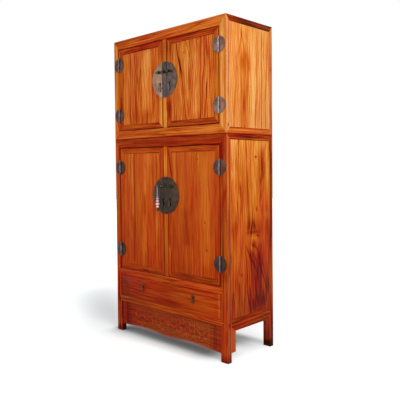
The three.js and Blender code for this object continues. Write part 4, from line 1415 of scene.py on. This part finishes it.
# Directions of the pins in a lock plate's segments, in degrees
LEFT_PINS = (180, 140, 220, 110, 250)
CENTRE_PINS = (86, 94, 266, 274)
RIGHT_PINS = (0, 40, -40, 70, -70)

# Glazes: the colour and its darker swirls
GLAZES = {
    "mauve": ((0.58, 0.3, 0.42), (0.34, 0.15, 0.26)),
    "violet": ((0.66, 0.36, 0.48), (0.44, 0.22, 0.36)),
    "rose": ((0.82, 0.42, 0.42), (0.68, 0.28, 0.3)),
    "pale": ((0.88, 0.58, 0.54), (0.78, 0.44, 0.42)),
    "white": ((0.86, 0.66, 0.62), (0.74, 0.5, 0.48)),
}


# Assembly

# Woods of the rails and the board round the foot of each case
BOTTOM_WOODS = (
    ("upper", ("upper_foot_rail", "upper_side_foot", "upper_floor")),
    ("lower", ("bottom_rail", "bottom_side_rail", "bottom_floor")),
)
PANEL_EDGE = 0.8 * MM
DOOR_PANEL_EDGE = 1.0 * MM
DRAWER_FACE = -242.0 * MM


def make_beads():
    cord = thread("purple_cord", (0.09, 0.035, 0.16), (0.24, 0.12, 0.36), 260.0)
    threads = thread("dark_threads", (0.018, 0.012, 0.016), (0.085, 0.055, 0.07), 190.0)
    beads = {word: glaze(word + "_bead", *colours) for word, colours in GLAZES.items()}
    bead_string(cord, beads, threads)


def make_cases(woods):
    for case in CASES:
        def of_case(*words):
            return [woods[f"{case}_{word}"] for word in words]

        rails_and_board(case, "top_board", *of_case("top_rail", "side_rail", "lid"))
        back_frame(case, *of_case("back_post", "back_panel"))
        for side, sign in SIDES:
            front_post(case, side, sign, *of_case(f"post_{side}", "post_side"))
            dressed(f"{case}_{side}_side_panel", of_case("side_panel"), PANEL_EDGE)
            door_frame(case, side, *of_case("door_stile", "door_rail"))
            dressed(f"{case}_{side}_door_panel", of_case(f"{side}_panel"), DOOR_PANEL_EDGE)
        dressed(f"{case}_centre_post", of_case("centre_post"), POST_EDGE, segments=3)
    for case, words in BOTTOM_WOODS:
        rails_and_board(case, "bottom_frame", *(woods[word] for word in words))
    rail_back = corners("lower_deck")[0].y + POST_DEPTH + SKIN
    dressed(
        "lower_deck", (woods["mid_rail"], woods["deck"]), DOOR_EDGE,
        lambda centre, normal: centre.y >= rail_back,
    )
    for side, sign in SIDES:
        side_apron(side, sign, woods["side_apron"], woods["spandrel"])
    carved_apron(woods["carved_apron"])
    dressed("drawer_box", (woods["drawer_inside"],), PANEL_EDGE)


def make_metalwork(woods, metals):
    dressed(
        "drawer_front", (woods["drawer"], metals["drawer_pull"]), DOOR_PANEL_EDGE,
        lambda centre, normal: centre.y < DRAWER_FACE - 0.05 * MM,
    )
    iron = metals["dark_staple"]
    for case in CASES:
        plate = metals[case + "_plate"]
        for side, sign in SIDES:
            for level in ("bottom", "top"):
                hinge = f"{case}_{side}_{level}_hinge"
                leaf = metals[HINGE_METALS.get(hinge, "dark_hinge")]
                # The barrels take a painted highlight, brighter on the upper right door's hinges
                barrel = metals["hinge_barrel" if (case, side) == ("upper", "right") else "dark_barrel"]
                hinge_leaf(f"{hinge}_fixed_leaf", sign, leaf, barrel)
                hinge_leaf(f"{hinge}_moving_leaf", -sign, leaf, barrel)
            segment = metals["pale_plate"] if (case, side) == ("upper", "left") else plate
            lock_plate(f"{case}_{side}_lock_plate", RIGHT_PINS if sign > 0 else LEFT_PINS, segment, iron)
            pull = metals["pull" if case == "upper" else "dark_pull"]
            dressed(f"{case}_{side}_drop_pull", (pull,), METAL_EDGE)
        middle = metals["upper_centre_plate"] if case == "upper" else plate
        lock_plate(f"{case}_centre_lock_plate", CENTRE_PINS, middle, iron)
    dressed("lock_bar", (metals["bar"],), METAL_EDGE)
    for side in ("left", "right"):
        dressed(f"drawer_{side}_pull", (metals["drawer_pull"],), METAL_EDGE)
    for word, sizes in UPPER_PINS.items():
        upper_pin(word, *sizes, iron)


# Floor, light and world

KEY_PLACE = (4.0, -1.6, 2.8)
KEY_POWER = 118.0
KEY_SIZE = 2.4
FILL_PLACE = (-2.0, -4.2, 2.4)
FILL_POWER = 64.0
FILL_SIZE = 2.6
LIT_POINT = (0.0, 0.0, 1.15)
AMBIENT = 0.46

# The floor's own glow keeps it white. Under the cabinet it is weak, which paints shade there, save a strip
# between the feet where some glow comes back as painted light, and a cloud behind the cabinet's left takes
# glow away as a painted shadow. UNDER says along X and Y where that painted shade begins and ends, and the
# front stretch along Y where the ground by the front feet is painted darker still.
FLOOR_SIZE = 14.0
FLOOR_DROP = 0.0006
FLOOR_TONE = (0.8, 0.855, 0.865)
FLOOR_PAINTED_SHADE_TONE = (0.44, 0.48, 0.49)
FLOOR_GLOW = 0.56
UNDER_X = ((-0.66, -0.54), (0.28, 0.59))
UNDER_Y = ((-0.41, -0.2), (0.23, 0.335))
FRONT_PAINTED_SHADE_Y = ((-0.29, -0.2), (-0.1, 0.05))
PAINTED_LIGHT_BAND_GLOW = 0.34
PAINTED_LIGHT_BAND_WIDTH = 0.09
FAR_GLOW = 0.6
FAR_FROM = (1.6, 3.0)
CLOUD_TURN = math.radians(148)
CLOUD_ALONG = 0.918
CLOUD_ASIDE = 0.55
CLOUD_LENGTH = 0.85
CLOUD_WIDTH = 0.254
PAINTED_SHADOW_DEPTH = 0.355


def plain_rays(g):
    """1 for rays that see the background itself or its mirror image, 0 for rays that light things."""
    path = g.node("LightPath").outputs
    seen = g.math("MAXIMUM", path["Is Camera Ray"], path["Is Glossy Ray"])
    return g.math("MAXIMUM", seen, path["Is Transmission Ray"])


def floor_material():
    """White, greyer under the cabinet as painted shade, with a glow that only the camera and mirrors see.
    """
    material, g, shader = new_material("white_floor")
    g.feed(shader["Roughness"], 0.9)
    g.feed(shader["Specular IOR Level"], 0.1)
    g.feed(shader["Emission Color"], WHITE)
    part = g.split(g.place())
    x, y = part["X"], part["Y"]
    # Painted shade under the cabinet: the glow is taken away there, and the ground by the front feet is
    # painted darker
    under = g.times(g.between(x, *UNDER_X), g.between(y, *UNDER_Y))
    front_painted_shade = g.times(under, g.between(y, *FRONT_PAINTED_SHADE_Y))
    g.feed(shader["Base Color"], g.ramp(front_painted_shade, ((0.0, FLOOR_TONE), (1.0, FLOOR_PAINTED_SHADE_TONE))))
    # A cloud of painted shadow behind the cabinet's left takes glow away from the floor
    along = g.add(g.times(x, math.cos(CLOUD_TURN)), g.times(y, math.sin(CLOUD_TURN)))
    aside = g.add(g.times(x, -math.sin(CLOUD_TURN)), g.times(y, math.cos(CLOUD_TURN)))
    cloud = g.group(
        PATCH, Across=along, Along=aside, At=CLOUD_ALONG, Height=CLOUD_ASIDE, Width=CLOUD_LENGTH,
        Length=CLOUD_WIDTH, Tone=-PAINTED_SHADOW_DEPTH,
    )["Tone"]
    # A strip of painted light between the feet gives some glow back under the cabinet
    painted_light_band = g.times(g.bell(g.off(y, 0.0, PAINTED_LIGHT_BAND_WIDTH)), under, PAINTED_LIGHT_BAND_GLOW)
    clear = g.times(g.less(1.0, under), g.add(cloud, FLOOR_GLOW))
    away = g.math("SQRT", g.add(g.times(x, x), g.times(y, y)))
    glow = g.add(g.math("MAXIMUM", g.add(clear, painted_light_band), 0.0), g.rise(away, *FAR_FROM, 0.0, FAR_GLOW))
    g.feed(shader["Emission Strength"], g.times(plain_rays(g), glow))
    return material


def make_floor():
    bm = bmesh.new()
    bmesh.ops.create_grid(bm, x_segments=1, y_segments=1, size=FLOOR_SIZE)
    floor = link(bpy.data.objects.new("floor", mesh_of(bm, "floor")))
    floor.location.z = -FLOOR_DROP
    floor.data.materials.append(floor_material())


def area_lamp(name, place, power, size):
    data = bpy.data.lights.new(name, "AREA")
    data.shape = "SQUARE"
    data.size = size
    data.energy = power
    lamp = link(bpy.data.objects.new(name, data))
    lamp.location = place
    lamp.rotation_euler = (Vector(LIT_POINT) - Vector(place)).to_track_quat("-Z", "Y").to_euler()


def make_world():
    """Plain white light all round, and plain white wherever the world itself is seen."""
    world = bpy.data.worlds.new("studio")
    world.use_nodes = True
    world.node_tree.nodes.clear()
    bpy.context.scene.world = world
    g = Graph(world.node_tree)
    mix = g.node("MixShader")
    g.feed(mix.inputs[0], plain_rays(g))
    for i, strength in ((1, AMBIENT), (2, 1.0)):
        light = g.node("Background")
        g.feed(light.inputs["Color"], WHITE)
        g.feed(light.inputs["Strength"], strength)
        g.feed(mix.inputs[i], light.outputs[0])
    g.feed(g.node("OutputWorld").inputs["Surface"], mix.outputs[0])


make_camera()
make_beads()
woods = make_woods()
make_cases(woods)
make_metalwork(woods, {word: metal(word + "_metal", *looks) for word, looks in METALS.items()})
make_floor()
area_lamp("key_lamp", KEY_PLACE, KEY_POWER, KEY_SIZE)
area_lamp("fill_lamp", FILL_PLACE, FILL_POWER, FILL_SIZE)
make_world()
bpy.context.scene.view_settings.view_transform = "Standard"
